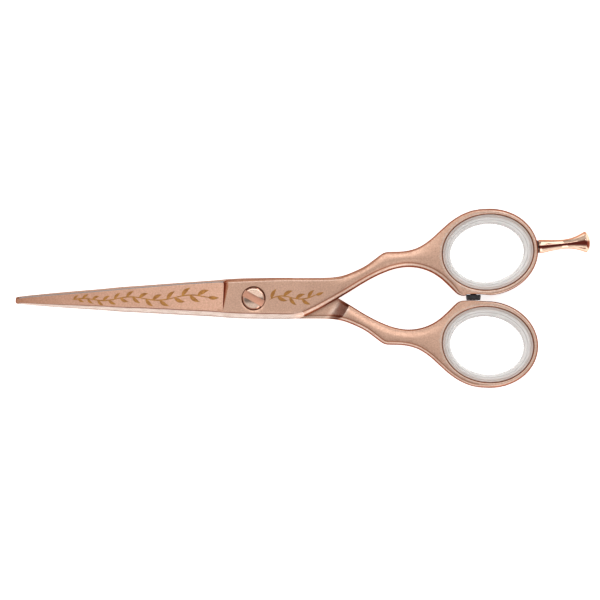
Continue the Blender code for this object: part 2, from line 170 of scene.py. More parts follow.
class Shell:
    """A closed mesh that grows row by row, in millimetres."""

    def __init__(self) -> None:
        """Starts with nothing."""
        self.points: list[tuple[float, float, float]] = []
        self.faces: list[tuple[int, ...]] = []
        self.finishes: list[int] = []
        self.marks: dict[str, list[float]] = {}
        self.creases: list[tuple[int, int]] = []

    def row(self, plan: np.ndarray, heights: np.ndarray | float, **marks: np.ndarray | float) -> list[int]:
        """Adds a row of points.

        Args:
            plan: Rows of x and y.
            heights: One height for each point, or one for all.
            **marks: Values from 0 to 1 that a finish reads at these points, such as the strength of a painted
                     highlight there.

        Returns:
            The numbers of the new points.
        """
        first = len(self.points)
        z = np.broadcast_to(np.asarray(heights, float), (len(plan),))
        self.points.extend((float(x), float(y), float(h)) for (x, y), h in zip(plan, z))
        for name, value in marks.items():
            kept = self.marks.setdefault(name, [])
            kept.extend([0.0] * (first - len(kept)))
            kept.extend(np.broadcast_to(np.asarray(value, float), (len(plan),)))
        return list(range(first, len(self.points)))

    def band(
        self, one: list[int], other: list[int], finish: int | np.ndarray = 0, closed: bool = True
    ) -> None:
        """Joins two rows of the same length with quads.

        Args:
            one: The first row.
            other: The second row.
            finish: Material number for the band, or one for each quad.
            closed: Whether the rows are loops.
        """
        count = len(one) if closed else len(one) - 1
        which = np.broadcast_to(finish, (count,))
        for i in range(count):
            j = (i + 1) % len(one)
            self.faces.append((one[i], one[j], other[j], other[i]))
            self.finishes.append(int(which[i]))

    def skin(self, rows: Sequence[list[int]], returns: bool = False, closed: bool = True) -> None:
        """Joins rows one after another.

        Args:
            rows: The rows, in order.
            returns: Whether the last row joins the first.
            closed: Whether each row is a loop.
        """
        for one, other in zip(rows, [*rows[1:], *(rows[:1] if returns else [])]):
            self.band(one, other, closed=closed)

    def cap(self, row: list[int]) -> None:
        """Closes a loop with one face."""
        self.faces.append(tuple(row))
        self.finishes.append(0)

    def crease(self, row: list[int], where: np.ndarray) -> None:
        """Keeps a loop's edges sharp wherever both their ends are chosen.

        Args:
            row: The loop.
            where: Whether each of its points is chosen.
        """
        for i, j in zip(range(len(row)), [*range(1, len(row)), 0]):
            if where[i] and where[j]:
                self.creases.append((min(row[i], row[j]), max(row[i], row[j])))

    def object(
        self, name: str, materials: Sequence[bpy.types.Material], crisp: float = CRISP
    ) -> bpy.types.Object:
        """Makes the Blender object.

        Args:
            name: The object's name.
            materials: The materials that the faces' numbers mean.
            crisp: Angle in degrees above which an edge stays sharp.

        Returns:
            The new object, linked to the scene.
        """
        mesh = bpy.data.meshes.new(name)
        mesh.from_pydata([Vector(p) * MM for p in self.points], [], self.faces)
        for one in materials:
            mesh.materials.append(one)
        mesh.polygons.foreach_set("material_index", self.finishes)
        for key, values in self.marks.items():
            full = np.zeros(len(self.points), np.float32)
            full[: len(values)] = values
            mesh.attributes.new(key, "FLOAT", "POINT").data.foreach_set("value", full)
        bm = bmesh.new()
        bm.from_mesh(mesh)
        bmesh.ops.recalc_face_normals(bm, faces=bm.faces)
        bm.to_mesh(mesh)
        bm.free()
        mesh.shade_smooth()
        mesh.set_sharp_from_angle(angle=math.radians(crisp))
        kept = set(self.creases)
        for edge in mesh.edges:
            if (min(edge.vertices), max(edge.vertices)) in kept:
                edge.use_edge_sharp = True
        made = bpy.data.objects.new(name, mesh)
        bpy.context.scene.collection.objects.link(made)
        return made


def unit_circle(count: int) -> np.ndarray:
    """Points round a circle of radius 1, as rows of x and y."""
    angles = np.linspace(0, math.tau, count, endpoint=False)
    return np.column_stack([np.cos(angles), np.sin(angles)])


def turned_shell(profile: Sequence[Point], segments: int, shut: bool = True) -> Shell:
    """Turns a profile about Z.

    Args:
        profile: Pairs of radius and height, in order along the section.
        segments: Steps round the axis.
        shut: Whether the section is a closed one, as a washer's is.

    Returns:
        The turned shell.
    """
    unit = unit_circle(segments)
    shell = Shell()
    rows = [shell.row(unit * radius, height) for radius, height in profile]
    shell.skin(rows, returns=shut)
    if not shut:
        shell.cap(rows[0])
        shell.cap(rows[-1])
    return shell


def arc_points(centre: Point, radius: float, start: float, end: float, count: int) -> list[Point]:
    """Points along an arc.

    Args:
        centre: The arc's centre.
        radius: Its radius.
        start: The angle where it starts, in degrees.
        end: The angle where it ends, in degrees.
        count: How many points.

    Returns:
        The points, in order.
    """
    return [
        (centre[0] + radius * math.cos(math.radians(a)), centre[1] + radius * math.sin(math.radians(a)))
        for a in np.linspace(start, end, count)
    ]


# --------------------------------------------------------------------------------------------------
# Finishes
# --------------------------------------------------------------------------------------------------


class Graph:
    """A material's nodes, added one by one."""

    def __init__(self, name: str) -> None:
        """Starts an empty Principled material.

        Args:
            name: The material's name.
        """
        self.material = bpy.data.materials.new(name)
        self.material.use_nodes = True
        self.tree = self.material.node_tree
        self.shader = self.tree.nodes["Principled BSDF"]

    def node(self, kind: str, **inputs: object) -> bpy.types.Node:
        """Adds a node.

        Args:
            kind: The node's type, without its ShaderNode prefix.
            **inputs: Values for its inputs, with _ for a space, or for its own settings.

        Returns:
            The node.
        """
        made = self.tree.nodes.new("ShaderNode" + kind)
        for key, value in inputs.items():
            label = key.replace("_", " ")
            if label in made.inputs:
                made.inputs[label].default_value = value
            else:
                setattr(made, key, value)
        return made

    def link(self, output: bpy.types.NodeSocket, target: bpy.types.NodeSocket) -> None:
        """Joins two sockets."""
        self.tree.links.new(output, target)

    def set(self, **values: object) -> None:
        """Sets the shader's own sockets, with _ for a space."""
        for key, value in values.items():
            self.shader.inputs[key.replace("_", " ")].default_value = value

    def mark(self, name: str) -> bpy.types.NodeSocket:
        """Reads one of the values that a shell's rows carry."""
        return self.node("Attribute", attribute_name=name).outputs["Fac"]

    def grain(
        self, scale: float, stretch: Sequence[float] = (1, 1, 1), detail: float = 3.0
    ) -> bpy.types.NodeSocket:
        """Noise that is fixed to the piece.

        Args:
            scale: Waves for each metre.
            stretch: Scale along each axis.
            detail: Octaves.

        Returns:
            The noise's factor.
        """
        place = self.node("TexCoord")
        stretched = self.node("Mapping")
        stretched.inputs["Scale"].default_value = tuple(stretch)
        noise = self.node("TexNoise", Scale=scale, Detail=detail, Roughness=0.6)
        self.link(place.outputs["Object"], stretched.inputs["Vector"])
        self.link(stretched.outputs["Vector"], noise.inputs["Vector"])
        return noise.outputs["Fac"]

    def spread(self, source: bpy.types.NodeSocket, low: float, high: float) -> bpy.types.NodeSocket:
        """Maps a factor's middle range onto values from low to high.

        Args:
            source: The factor.
            low: Value where the factor is low.
            high: Value where the factor is high.

        Returns:
            The value's socket.
        """
        made = self.node("MapRange")
        made.inputs["From Min"].default_value = 0.25
        made.inputs["From Max"].default_value = 0.75
        made.inputs["To Min"].default_value = low
        made.inputs["To Max"].default_value = high
        self.link(source, made.inputs["Value"])
        return made.outputs["Result"]

    def mixed(
        self,
        factor: bpy.types.NodeSocket,
        one: Colour | bpy.types.NodeSocket,
        other: Colour | bpy.types.NodeSocket,
    ) -> bpy.types.NodeSocket:
        """Blends two colours, each a colour or another node's output.

        Args:
            factor: Share of the other colour.
            one: The colour where the factor is 0.
            other: The colour where it is 1.

        Returns:
            The blend's socket.
        """
        made = self.node("Mix", data_type="RGBA")
        self.link(factor, made.inputs[0])
        for slot, value in ((6, one), (7, other)):
            if isinstance(value, bpy.types.NodeSocket):
                self.link(value, made.inputs[slot])
            else:
                made.inputs[slot].default_value = (*value, 1.0)
        return made.outputs[2]

    def darkened(
        self, factor: bpy.types.NodeSocket, tone: bpy.types.NodeSocket, colour: Colour
    ) -> bpy.types.NodeSocket:
        """Multiplies a tone by a colour, as far as a factor says.

        Args:
            factor: The factor, which is spread from 0 to 1 first.
            tone: The tone.
            colour: The colour that it is multiplied by.

        Returns:
            The darkened tone's socket.
        """
        made = self.node("Mix", data_type="RGBA", blend_type="MULTIPLY")
        made.inputs[7].default_value = (*colour, 1.0)
        self.link(self.spread(factor, 0.0, 1.0), made.inputs[0])
        self.link(tone, made.inputs[6])
        return made.outputs[2]

    def mottle(self, factor: bpy.types.NodeSocket, one: Colour, other: Colour) -> None:
        """Colours the surface from one colour to another by a factor."""
        self.link(self.mixed(self.spread(factor, 0, 1), one, other), self.shader.inputs["Base Color"])

    def bump(self, height: bpy.types.NodeSocket, depth: float, strength: float) -> None:
        """Raises the surface by a height.

        Args:
            height: The factor that gives the relief.
            depth: Full depth in metres.
            strength: Share of it that shows.
        """
        made = self.node("Bump", Strength=strength, Distance=depth)
        self.link(height, made.inputs["Height"])
        previous = self.shader.inputs["Normal"].links
        if previous:
            self.link(previous[0].from_socket, made.inputs["Normal"])
        self.link(made.outputs["Normal"], self.shader.inputs["Normal"])


@dataclass(frozen=True)
class CopperCoat:
    """Copper-coloured hard coating on steel, with painted shade that deepens its tone where a wall turns
    down.

    Attributes:
        name: The material's name.
        face: Colour of faces that look out.
        turning: Colour where a face turns down, as painted shade.
        wall: Colour of steep walls, as painted shade, and of painted dark lines.
        rubbed: Colour of the painted highlights along rims, lips and the ramp.
        roughness: Lowest and highest roughness.
        grain: Blasted grain, in waves for each metre.
        grain_depth: Depth of that grain in metres.
        brushed: How far the grain is drawn out along X.
        stops: How upright a surface stands at its wall, turning and face colours.
        crown: Colour of a painted dark reflection band along the top of a round piece, if it has one.
        crown_off: How far the painted dark band lies from the top, as a part of the normal.
        crown_stop: Where the painted dark band starts, on the scale of stops.
        matt: Colour where the polish fades.
        dulling: Roughness that is added where the polish fades.
        cloud: Colour of its wide, faint clouds.
        speck: Colour of its fine specks.
    """

    name: str
    face: Colour
    turning: Colour
    wall: Colour
    rubbed: Colour
    roughness: tuple[float, float]
    grain: float
    grain_depth: float
    brushed: float = 1.0
    stops: tuple[float, float, float] = (0.58, 0.86, 0.98)
    crown: Colour | None = None
    crown_off: float = 0.1
    crown_stop: float = 0.82
    matt: Colour = (0.86, 0.62, 0.51)
    dulling: float = 0.22
    cloud: Colour = (0.87, 0.85, 0.84)
    speck: Colour = (0.7, 0.63, 0.58)

    def tilt_tone(self, g: Graph) -> bpy.types.NodeSocket:
        """Painted shade and painted reflection: colour by how far the surface leans, in the piece's own
        frame.

        Args:
            g: The material's graph.

        Returns:
            The colour's socket.
        """
        shape = g.node("NewGeometry")
        turn = g.node("VectorTransform", vector_type="NORMAL", convert_from="WORLD", convert_to="OBJECT")
        parts = g.node("SeparateXYZ")
        upright = g.node("Math", operation="ABSOLUTE")
        ramp = g.node("ValToRGB")
        g.link(shape.outputs["Normal"], turn.inputs["Vector"])
        g.link(turn.outputs["Vector"], parts.inputs["Vector"])
        g.link(parts.outputs["Z"], upright.inputs[0])
        # Painted shade: the colour darkens from face to turning to wall as the surface leans.
        stops = list(zip(self.stops, (self.wall, self.turning, self.face)))
        # Painted reflection: a dark band along the top of a round piece, placed by the normal's Y.
        if self.crown:
            off_crown = g.node("Math", operation="ADD")
            off_crown.inputs[1].default_value = self.crown_off
            left = g.node("Math", operation="SUBTRACT")
            left.inputs[0].default_value = 1.0
            g.link(parts.outputs["Y"], off_crown.inputs[0])
            g.link(off_crown.outputs[0], upright.inputs[0])
            g.link(upright.outputs[0], left.inputs[1])
            upright = left
            stops.append((self.crown_stop, self.crown))
        g.link(upright.outputs[0], ramp.inputs["Fac"])
        for _ in stops[2:]:
            ramp.color_ramp.elements.new(0.5)
        for element, (at, colour) in zip(ramp.color_ramp.elements, stops):
            element.position, element.color = at, (*colour, 1.0)
        return ramp.outputs["Color"]

    def material(self) -> bpy.types.Material:
        """Builds the finish's nodes.

        Returns:
            The material.
        """
        g = Graph(self.name)
        g.set(Metallic=1.0, Specular_Tint=(*self.turning, 1.0))
        fine = g.grain(self.grain, (1 / self.brushed, 1, 1), detail=4)
        tone = self.tilt_tone(g)
        # Painted highlights along rims, broken up by grain.
        patchy = g.node("Math", operation="MULTIPLY")
        g.link(g.mark("rubbed"), patchy.inputs[0])
        g.link(g.spread(g.grain(700, detail=3), 0.65, 1.0), patchy.inputs[1])
        tone = g.mixed(patchy.outputs[0], tone, self.rubbed)
        faded = g.mark("faded")
        # Painted shade: dark lines in the wall colour where the shell's painted shade mark is high.
        tone = g.mixed(g.mark("scorched"), tone, self.wall)
        tone = g.mixed(faded, tone, self.matt)
        tone = g.darkened(g.grain(110, detail=5), tone, self.cloud)
        tone = g.darkened(fine, tone, self.speck)
        g.link(tone, g.shader.inputs["Base Color"])
        dulled = g.node("Math", operation="MULTIPLY_ADD")
        dulled.inputs[1].default_value = self.dulling
        g.link(faded, dulled.inputs[0])
        g.link(g.spread(fine, *self.roughness), dulled.inputs[2])
        g.link(dulled.outputs[0], g.shader.inputs["Roughness"])
        g.bump(fine, self.grain_depth, 0.5)
        return g.material


@dataclass(frozen=True)
class BareSteel:
    """Ground steel with fine marks across it.

    Attributes:
        name: The material's name.
        colour: Base colour.
        roughness: Lowest and highest roughness.
    """

    name: str = "bare_ground_steel"
    colour: Colour = (0.24, 0.25, 0.27)
    roughness: tuple[float, float] = (0.16, 0.34)

    def material(self) -> bpy.types.Material:
        """Builds the finish's nodes.

        Returns:
            The material.
        """
        g = Graph(self.name)
        g.set(Metallic=1.0)
        marks = g.grain(9000, (1, 0.08, 1), detail=3)
        g.mottle(marks, self.colour, tuple(c * 0.8 for c in self.colour))
        g.link(g.spread(marks, *self.roughness), g.shader.inputs["Roughness"])
        g.bump(marks, 0.00001, 0.4)
        return g.material


@dataclass(frozen=True)
class GiltEtching:
    """Golden-brown etched and gilded line work.

    Attributes:
        name: The material's name.
        gold: Lighter colour.
        umber: Darker colour.
    """

    name: str = "gilt_etching"
    gold: Colour = (0.6, 0.27, 0.055)
    umber: Colour = (0.27, 0.095, 0.022)

    def material(self) -> bpy.types.Material:
        """Builds the finish's nodes.

        Returns:
            The material.
        """
        g = Graph(self.name)
        g.set(Metallic=0.35, Roughness=0.45)
        blotch = g.grain(1100, detail=3)
        g.mottle(blotch, self.gold, self.umber)
        g.bump(g.grain(9000, detail=2), 0.00001, 0.5)
        return g.material


@dataclass(frozen=True)
class ClearSilicone:
    """Milky clear silicone with a painted glow standing in for light carried up from below, painted shade,
    and streaks that run round the ring.

    Attributes:
        name: The material's name.
        colour: Body colour.
        shade: Colour in its thicker streaks.
        deep: Painted shade colour, where it turns down into the opening, in its creases and on one side.
        clear: Share of light that passes through.
        gloss: Weight of its smooth skin.
        painted_glow: Painted glow, as emission, standing in for light carried up from a bright ground.
    """

    name: str = "clear_silicone_rubber"
    colour: Colour = (0.99, 0.99, 0.98)
    shade: Colour = (0.86, 0.85, 0.84)
    deep: Colour = (0.42, 0.38, 0.36)
    clear: float = 0.6
    gloss: float = 0.5
    painted_glow: float = 0.07

    def material(self) -> bpy.types.Material:
        """Builds the finish's nodes.

        Returns:
            The material.
        """
        g = Graph(self.name)
        g.set(Roughness=0.2, IOR=1.41, Transmission_Weight=self.clear)
        # The emission is a painted glow in the tone's colour.
        g.set(Coat_Weight=self.gloss, Coat_Roughness=0.08, Emission_Strength=self.painted_glow)
        place = g.node("CombineXYZ")
        streaks = g.node("TexNoise", Scale=1.0, Detail=4.0, Roughness=0.65)
        for mark, axis, scale in (("across", "X", 26.0), ("around", "Y", 9.0)):
            scaled = g.node("Math", operation="MULTIPLY")
            scaled.inputs[1].default_value = scale
            g.link(g.mark(mark), scaled.inputs[0])
            g.link(scaled.outputs[0], place.inputs[axis])
        g.link(place.outputs["Vector"], streaks.inputs["Vector"])
        tone = g.mixed(g.spread(streaks.outputs["Fac"], 0.0, 1.0), self.colour, self.shade)
        # Painted shade in the deep colour.
        tone = g.mixed(g.mark("scorched"), tone, self.deep)
        g.link(tone, g.shader.inputs["Base Color"])
        g.link(tone, g.shader.inputs["Emission Color"])
        g.bump(streaks.outputs["Fac"], 0.00025, 0.5)
        g.bump(g.grain(2600, detail=2), 0.00002, 0.3)
        return g.material


@dataclass(frozen=True)
class MouldedRubber:
    """Black moulded rubber with a dry, slightly dusty skin.

    Attributes:
        name: The material's name.
        colour: Base colour.
        bloom: Colour of its dusty bloom.
    """

    name: str = "moulded_black_rubber"
    colour: Colour = (0.012, 0.012, 0.014)
    bloom: Colour = (0.05, 0.05, 0.055)

    def material(self) -> bpy.types.Material:
        """Builds the finish's nodes.

        Returns:
            The material.
        """
        g = Graph(self.name)
        g.set(Specular_IOR_Level=0.45)
        dust = g.grain(1500, detail=4)
        g.mottle(dust, self.colour, self.bloom)
        g.link(g.spread(dust, 0.42, 0.62), g.shader.inputs["Roughness"])
        g.bump(g.grain(7000, detail=2), 0.00003, 0.5)
        return g.material


@dataclass(frozen=True)
class MouldedNylon:
    """White nylon, a little waxy.

    Attributes:
        name: The material's name.
        colour: Base colour.
    """

    name: str = "white_nylon"
    colour: Colour = (0.82, 0.81, 0.77)

    def material(self) -> bpy.types.Material:
        """Builds the finish's nodes.

        Returns:
            The material.
        """
        g = Graph(self.name)
        g.set(Subsurface_Weight=0.15, Subsurface_Scale=0.0005)
        wax = g.grain(900, detail=3)
        g.mottle(wax, self.colour, tuple(c * 0.9 for c in self.colour))
        g.link(g.spread(wax, 0.38, 0.52), g.shader.inputs["Roughness"])
        g.bump(wax, 0.00003, 0.3)
        return g.material


SATIN = CopperCoat(
    name="satin_copper_coat",
    face=(0.94, 0.625, 0.48),
    turning=(0.72, 0.335, 0.205),
    wall=(0.28, 0.095, 0.055),
    rubbed=(1.0, 0.87, 0.78),
    roughness=(0.33, 0.43),
    grain=2600,
    grain_depth=0.00002,
)
POLISHED = CopperCoat(
    name="polished_copper_coat",
    face=(0.98, 0.86, 0.79),
    turning=(0.97, 0.84, 0.77),
    wall=(0.24, 0.075, 0.045),
    rubbed=(0.98, 0.88, 0.82),
    roughness=(0.14, 0.24),
    grain=2200,
    grain_depth=0.000002,
    brushed=6.0,
)
# The rest's pale bands and its dark crown band are painted reflections, set by how its surface leans.
MIRROR = CopperCoat(
    name="mirror_copper_coat",
    face=(1.0, 0.75, 0.59),
    turning=(1.0, 0.74, 0.58),
    wall=(0.55, 0.25, 0.15),
    rubbed=(0.98, 0.8, 0.7),
    roughness=(0.03, 0.07),
    grain=3000,
    grain_depth=0.000001,
    brushed=3.0,
    stops=(0.15, 0.28, 0.66),
    crown=(0.2, 0.04, 0.028),
)
# Its dark turning and wall colours are painted shade: a dark ring round the head's rounded edge.
SCREW_FACE = CopperCoat(
    name="turned_copper_coat",
    face=(1.0, 0.76, 0.63),
    turning=(0.45, 0.16, 0.09),
    wall=(0.14, 0.04, 0.022),
    rubbed=(0.98, 0.84, 0.76),
    roughness=(0.05, 0.12),
    grain=3600,
    grain_depth=0.000002,
)
SCOURED = CopperCoat(
    name="scoured_copper_coat",
    face=(0.92, 0.5, 0.36),
    turning=(0.6, 0.3, 0.2),
    wall=(0.22, 0.08, 0.045),
    rubbed=(0.94, 0.7, 0.58),
    roughness=(0.32, 0.5),
    grain=5000,
    grain_depth=0.00006,
    brushed=0.4,
)


class Palette:
    """Every finish's material, made once."""

    def __init__(self) -> None:
        """Builds the materials."""
        self.satin = SATIN.material()
        self.polished = POLISHED.material()
        self.mirror = MIRROR.material()
        self.turned = SCREW_FACE.material()
        self.scoured = SCOURED.material()
        self.steel = BareSteel().material()
        self.gilt = GiltEtching().material()
        self.silicone = ClearSilicone().material()
        self.rubber = MouldedRubber().material()
        self.nylon = MouldedNylon().material()


class Slot(Enum):
    """The record's material slots."""

    HALVES = "forged_halves"
    FITTINGS = "polished_fittings"
    SPRING = "spring_steel"
    NYLON = "nylon"
    SILICONE = "clear_silicone"
    RUBBER = "black_rubber"


class Side(Enum):
    """The two sides of the shears, each with its body and the turn of its own frame about X."""

    FINGER = ("finger_half", 0.0)
    THUMB = ("thumb_half", 180.0)

    @property
    def body(self) -> str:
        """The body that the side's pieces ride on."""
        return self.value[0]

    @property
    def frame(self) -> Matrix:
        """The side's own frame in the row frame, in metres."""
        turn = Matrix.Rotation(math.radians(self.value[1]), 4, "X")
        return Matrix.Translation((0, 0, PARTING_Z * MM)) @ turn


def settle(piece: bpy.types.Object, place: Matrix, body: str, nodes: Sequence[str] = ()) -> None:
    """Puts a piece in place and tells the frame about it.

    Args:
        piece: The finished piece.
        place: Its frame, in metres.
        body: The body that it rides on.
        nodes: The CAD nodes that it stands for.
    """
    piece.data.transform(place)
    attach(piece, body)
    if nodes:
        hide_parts(*nodes)
    LOG.info("%s rides on %s, %d faces", piece.name, body, len(piece.data.polygons))


# --------------------------------------------------------------------------------------------------
# The forged halves
# --------------------------------------------------------------------------------------------------


@dataclass(frozen=True)
class RingOval:
    """An ellipse of the finger ring in plan.

    Attributes:
        semi: Half its length and half its width.
        centre: Its centre.
        tilt: Lean in degrees.
    """

    semi: Point
    centre: Point = (62.65, 12.35)
    tilt: float = 7.0

    def loop(self, angles: np.ndarray, out: float | np.ndarray = 0.0) -> np.ndarray:
        """Points on the ellipse, moved out.

        Args:
            angles: Angles round it, in radians.
            out: Distance outside it.

        Returns:
            Rows of x and y.
        """
        a, b = self.semi
        flat = np.column_stack([a * np.cos(angles), b * np.sin(angles)])
        normal = np.column_stack([b * np.cos(angles), a * np.sin(angles)])
        flat += normal / np.linalg.norm(normal, axis=1)[:, None] * np.reshape(out, (-1, 1))
        t = math.radians(self.tilt)
        return flat @ np.array([[math.cos(t), math.sin(t)], [-math.sin(t), math.cos(t)]]) + self.centre


def peak(value: np.ndarray, middle: float, reach: float) -> np.ndarray:
    """Is 1 at the middle and falls to 0 at its reach."""
    return np.clip(1 - np.abs(value - middle) / reach, 0, 1)


class Rim(Enum):
    """How the rim between a face and a wall is dressed."""

    BLADE_BACK = "blade_back"
    STRIP = "strip"
    CHAMFER = "chamfer"
    ROUND = "round"
    RING = "ring"
    CUTTING = "cutting"
    STEEP = "steep"

    def depth(self, share: np.ndarray, width: np.ndarray) -> np.ndarray:
        """How far the rim lies under its face.

        Args:
            share: Place across the rim, from 0 at the wall to 1 at the face, one for each row.
            width: The rim's width, one for each point.

        Returns:
            Depths, a row for each point and a column for each share.
        """
        f, w = np.minimum(share, 1)[None, :], width[:, None]
        falls = {
            Rim.BLADE_BACK: lambda: w * (0.72 * (1 - f) + 0.04 * np.clip(1 - f / 0.2, 0, 1) ** 2),
            Rim.STRIP: lambda: w * (0.42 * (1 - f) + 0.55 * np.clip(1 - f / 0.5, 0, 1) ** 2),
            Rim.CHAMFER: lambda: (
                0.3 * np.clip(1 - f / 0.76, 0, 1)
                + 0.045 * np.clip((1 - f) / 0.24, 0, 1)
                + 0.1 * np.clip(1 - f / 0.15, 0, 1) ** 2
                + 0 * w
            ),
            Rim.ROUND: lambda: 1.2 * w * (1 - np.sqrt(1 - (1 - f) ** 2)),
            Rim.RING: lambda: 1.3 * w * (1 - np.sqrt(1 - (1 - f) ** 2)),
            Rim.CUTTING: lambda: 0.16 * (1 - f) * np.ones_like(w),
            Rim.STEEP: lambda: 1.3 * w * (1 - f),
        }
        return falls[self]()

    def rubbed(self, share: np.ndarray) -> np.ndarray:
        """How strong the painted highlight is on each row of the rim.

        Args:
            share: Place across the rim, from 0 at the wall to 1 at the face, one for each row.

        Returns:
            One value for each row, from 0 to 1.
        """
        # Painted highlight lines: where across the rim each sits, how far it reaches and how bright it gets.
        lines = {
            Rim.STRIP: (0.58, 0.3, 1.0),
            Rim.CHAMFER: (0.9, 0.14, 1.0),
            Rim.RING: (0.84, 0.3, 1.0),
        }
        middle, reach, most = lines.get(self, (0.9, 0.3, 0.0))
        return most * peak(share, middle, reach)

    def scorched(self, share: np.ndarray) -> np.ndarray:
        """How strong the painted shade is on each row of the rim.

        Args:
            share: Place across the rim, from 0 at the wall to 1 at the face, one for each row.

        Returns:
            One value for each row, from 0 to 1.
        """
        # Painted shade lines at ridges, crevices and the feet of walls: where across the rim each sits, how
        # far it reaches and how dark it gets.
        lines = {
            Rim.BLADE_BACK: (1.0, 0.16, 1.0),
            Rim.STRIP: (1.02, 0.22, 0.9),
            Rim.CHAMFER: (0.0, 0.16, 0.5),
            Rim.RING: (0.1, 0.3, 0.6),
        }
        middle, reach, most = lines.get(self, (0.0, 0.2, 0.5))
        return most * peak(share, middle, reach)


@dataclass(frozen=True)
class Stretch:
    """A stretch of a half's outline.

    Attributes:
        points: Its points, in order.
        front: How the front rim is dressed.
        front_width: The front rim's width at its start and end.
        back: How the back rim is dressed.
        back_width: The back rim's width at its start and end.
    """

    points: np.ndarray
    front: Rim
    front_width: tuple[float, float]
    back: Rim
    back_width: tuple[float, float]


@dataclass
class ForgedHalf:
    """One half of the shears: blade, joint plate, shank and ring, forged in one piece.

    Attributes:
        side: Which half it is.
        thickness: From the parting plane to the outer face.
        gap: Half the running gap between the halves.
        blade_back: Back of the blade in plan.
        cutting_edge: Cutting edge of the blade in plan.
        inner_edge: Edge that faces the other handle, from the blade's heel to the ring.
        tip_edge: Blunt tip, from the cutting edge to the back.
        back_rim: Pairs of x and the width of the polished rim along the blade's back.
        socket_edge: Where the finger ring makes room for the bumper.
        plain_edge: The same place on the thumb ring, which the bumper meets.
        outer_edge: Outer edge, from the ring to the blade's heel.
        ring: Outside of the ring.
        recess: Hole that holds the insert.
        ridge_at_tip: Height of the blade's ridge at its tip.
        heel_x: X of the heel step's foot at heel_y.
        heel_y: Y at which heel_x is given.
        heel_slope: How far the foot moves along X for each millimetre of Y.
        heel_run: Width of the heel step for each millimetre of depth.
        ramp: Foot and top of the ramp from the joint plate to the full thickness, along its direction.
        ramp_turn: Direction of the ramp, in degrees from X.
        lean: How far the blade leans from the heel on, as a slope.
        lean_from: X where the lean starts.
        crown_height: How far the crowned shank falls to its edges.
        strip_fade: Where along X the polished rim fades out.
        lip: Width of the rounded lips of the ring's hole.
        lip_depth: Depth of those lips.
        shares: Rows across each rim, from the wall to just inside the face.
        step: Distance between the outline's points.
        fill: Distance between the faces' inner points.
    """

    side: Side
    thickness: float = 2.85
    gap: float = 0.1
    blade_back: tuple[Point, ...] = (
        (TIP_X, -1.5), (-60, -1.78), (-56.9, -2.03), (-51.5, -2.44), (-46.2, -2.8), (-40.8, -3.14),
        (-35.5, -3.56), (-30.2, -3.83), (-24.8, -4.13), (-19.5, -4.42), (-14.1, -4.7), (-10.2, -4.92),
    )  # fmt: skip
    cutting_edge: tuple[Point, ...] = (
        (-8.15, 4.5), (-12, 4.3), (-16, 4.05), (-20, 3.78), (-25, 3.38), (-30.2, 2.95), (-35.5, 2.5),
        (-40.8, 2.02), (-46.2, 1.55), (-51.5, 1.12), (-56.9, 0.7), (-60.5, 0.42), (TIP_X, 0.12),
    )  # fmt: skip
    tip_edge: tuple[Point, ...] = (
        (TIP_X, 0.12), (-63.45, 0.06), (-63.68, -0.6), (-63.5, -1.36), (TIP_X, -1.5),
    )  # fmt: skip
    back_rim: tuple[Point, ...] = ((-62.7, 0.3), (-60.9, 0.4), (-46.2, 0.95), (-30.2, 1.3), (-10, 1.42))
    inner_edge: tuple[Point, ...] = (
        (-7.2, -5.15), (-3, -5.36), (2, -5.46), (7.2, -5.5), (10.6, -5.46), (13, -5.03), (16.6, -3.4),
        (19.7, -1.72), (22.8, 0.05), (25.9, 1.9), (29, 3.82), (32.2, 5.6), (35.2, 6.96), (38, 7.88),
        (41.2, 8.34), (44.4, 8.03), (47.3, 7.05), (49.7, 5.6), (51.7, 3.85), (53.5, 2.08), (54.6, 1.12),
        (55.6, 0.72), (56.3, 0.64),
    )  # fmt: skip
    outer_edge: tuple[Point, ...] = (
        (60.4, 23.82), (58, 23.33), (55.3, 22.2), (52.6, 20.42), (49.9, 18.05), (47.3, 15.7), (44.6, 13.88),
        (42, 12.9), (39.4, 12.5), (36.7, 12.42), (35.4, 12.33), (34.2, 11.8), (32.2, 10.3), (29.9, 8.66),
        (27, 7.22), (24.2, 6.15), (21.4, 5.62), (17.9, 5.45), (12, 5.43), (6, 5.38), (0, 5.14),
        (-4, 4.98), (-6.9, 4.86),
    )  # fmt: skip
    socket_edge: tuple[Point, ...] = (
        (56.62, 0.64), (56.78, 0.8), (56.82, 0.98), (57.05, 1.08), (58.8, 1.12), (60.55, 1.08),
        (60.78, 0.98), (60.9, 0.86),
    )  # fmt: skip
    plain_edge: tuple[Point, ...] = ((57.4, 0.56), (58.6, 0.54), (59.8, 0.62), (60.9, 0.76))
    ring: RingOval = RingOval((13.42, 11.56))
    recess: RingOval = RingOval((12.2, 10.1))
    ridge_at_tip: float = 1.0
    heel_x: float = -7.95
    heel_y: float = 4.5
    heel_slope: float = 0.035
    heel_run: float = 0.6
    ramp: tuple[float, float] = (18.4, 22.3)
    ramp_turn: float = 34.8
    lean: float = 0.0
    lean_from: float = -7.2
    crown_height: float = 0.29
    strip_fade: tuple[float, float] = (8.5, 13.5)
    lip: float = 0.42
    lip_depth: float = 0.5
    shares: tuple[float, ...] = (0, 0.06, 0.14, 0.25, 0.4, 0.6, 0.76, 0.88, 1.0, 1.05, 1.16)
    step: float = 0.36
    fill: float = 0.62

    def __post_init__(self) -> None:
        """Leans the blade."""
        self.blade_back = tuple(self.leaned(p) for p in self.blade_back)
        self.cutting_edge = tuple(self.leaned(p) for p in self.cutting_edge)

    def leaned(self, point: Point) -> Point:
        """Moves a point of the blade by its lean."""
        return point[0], point[1] + self.lean * max(0.0, self.lean_from - point[0])

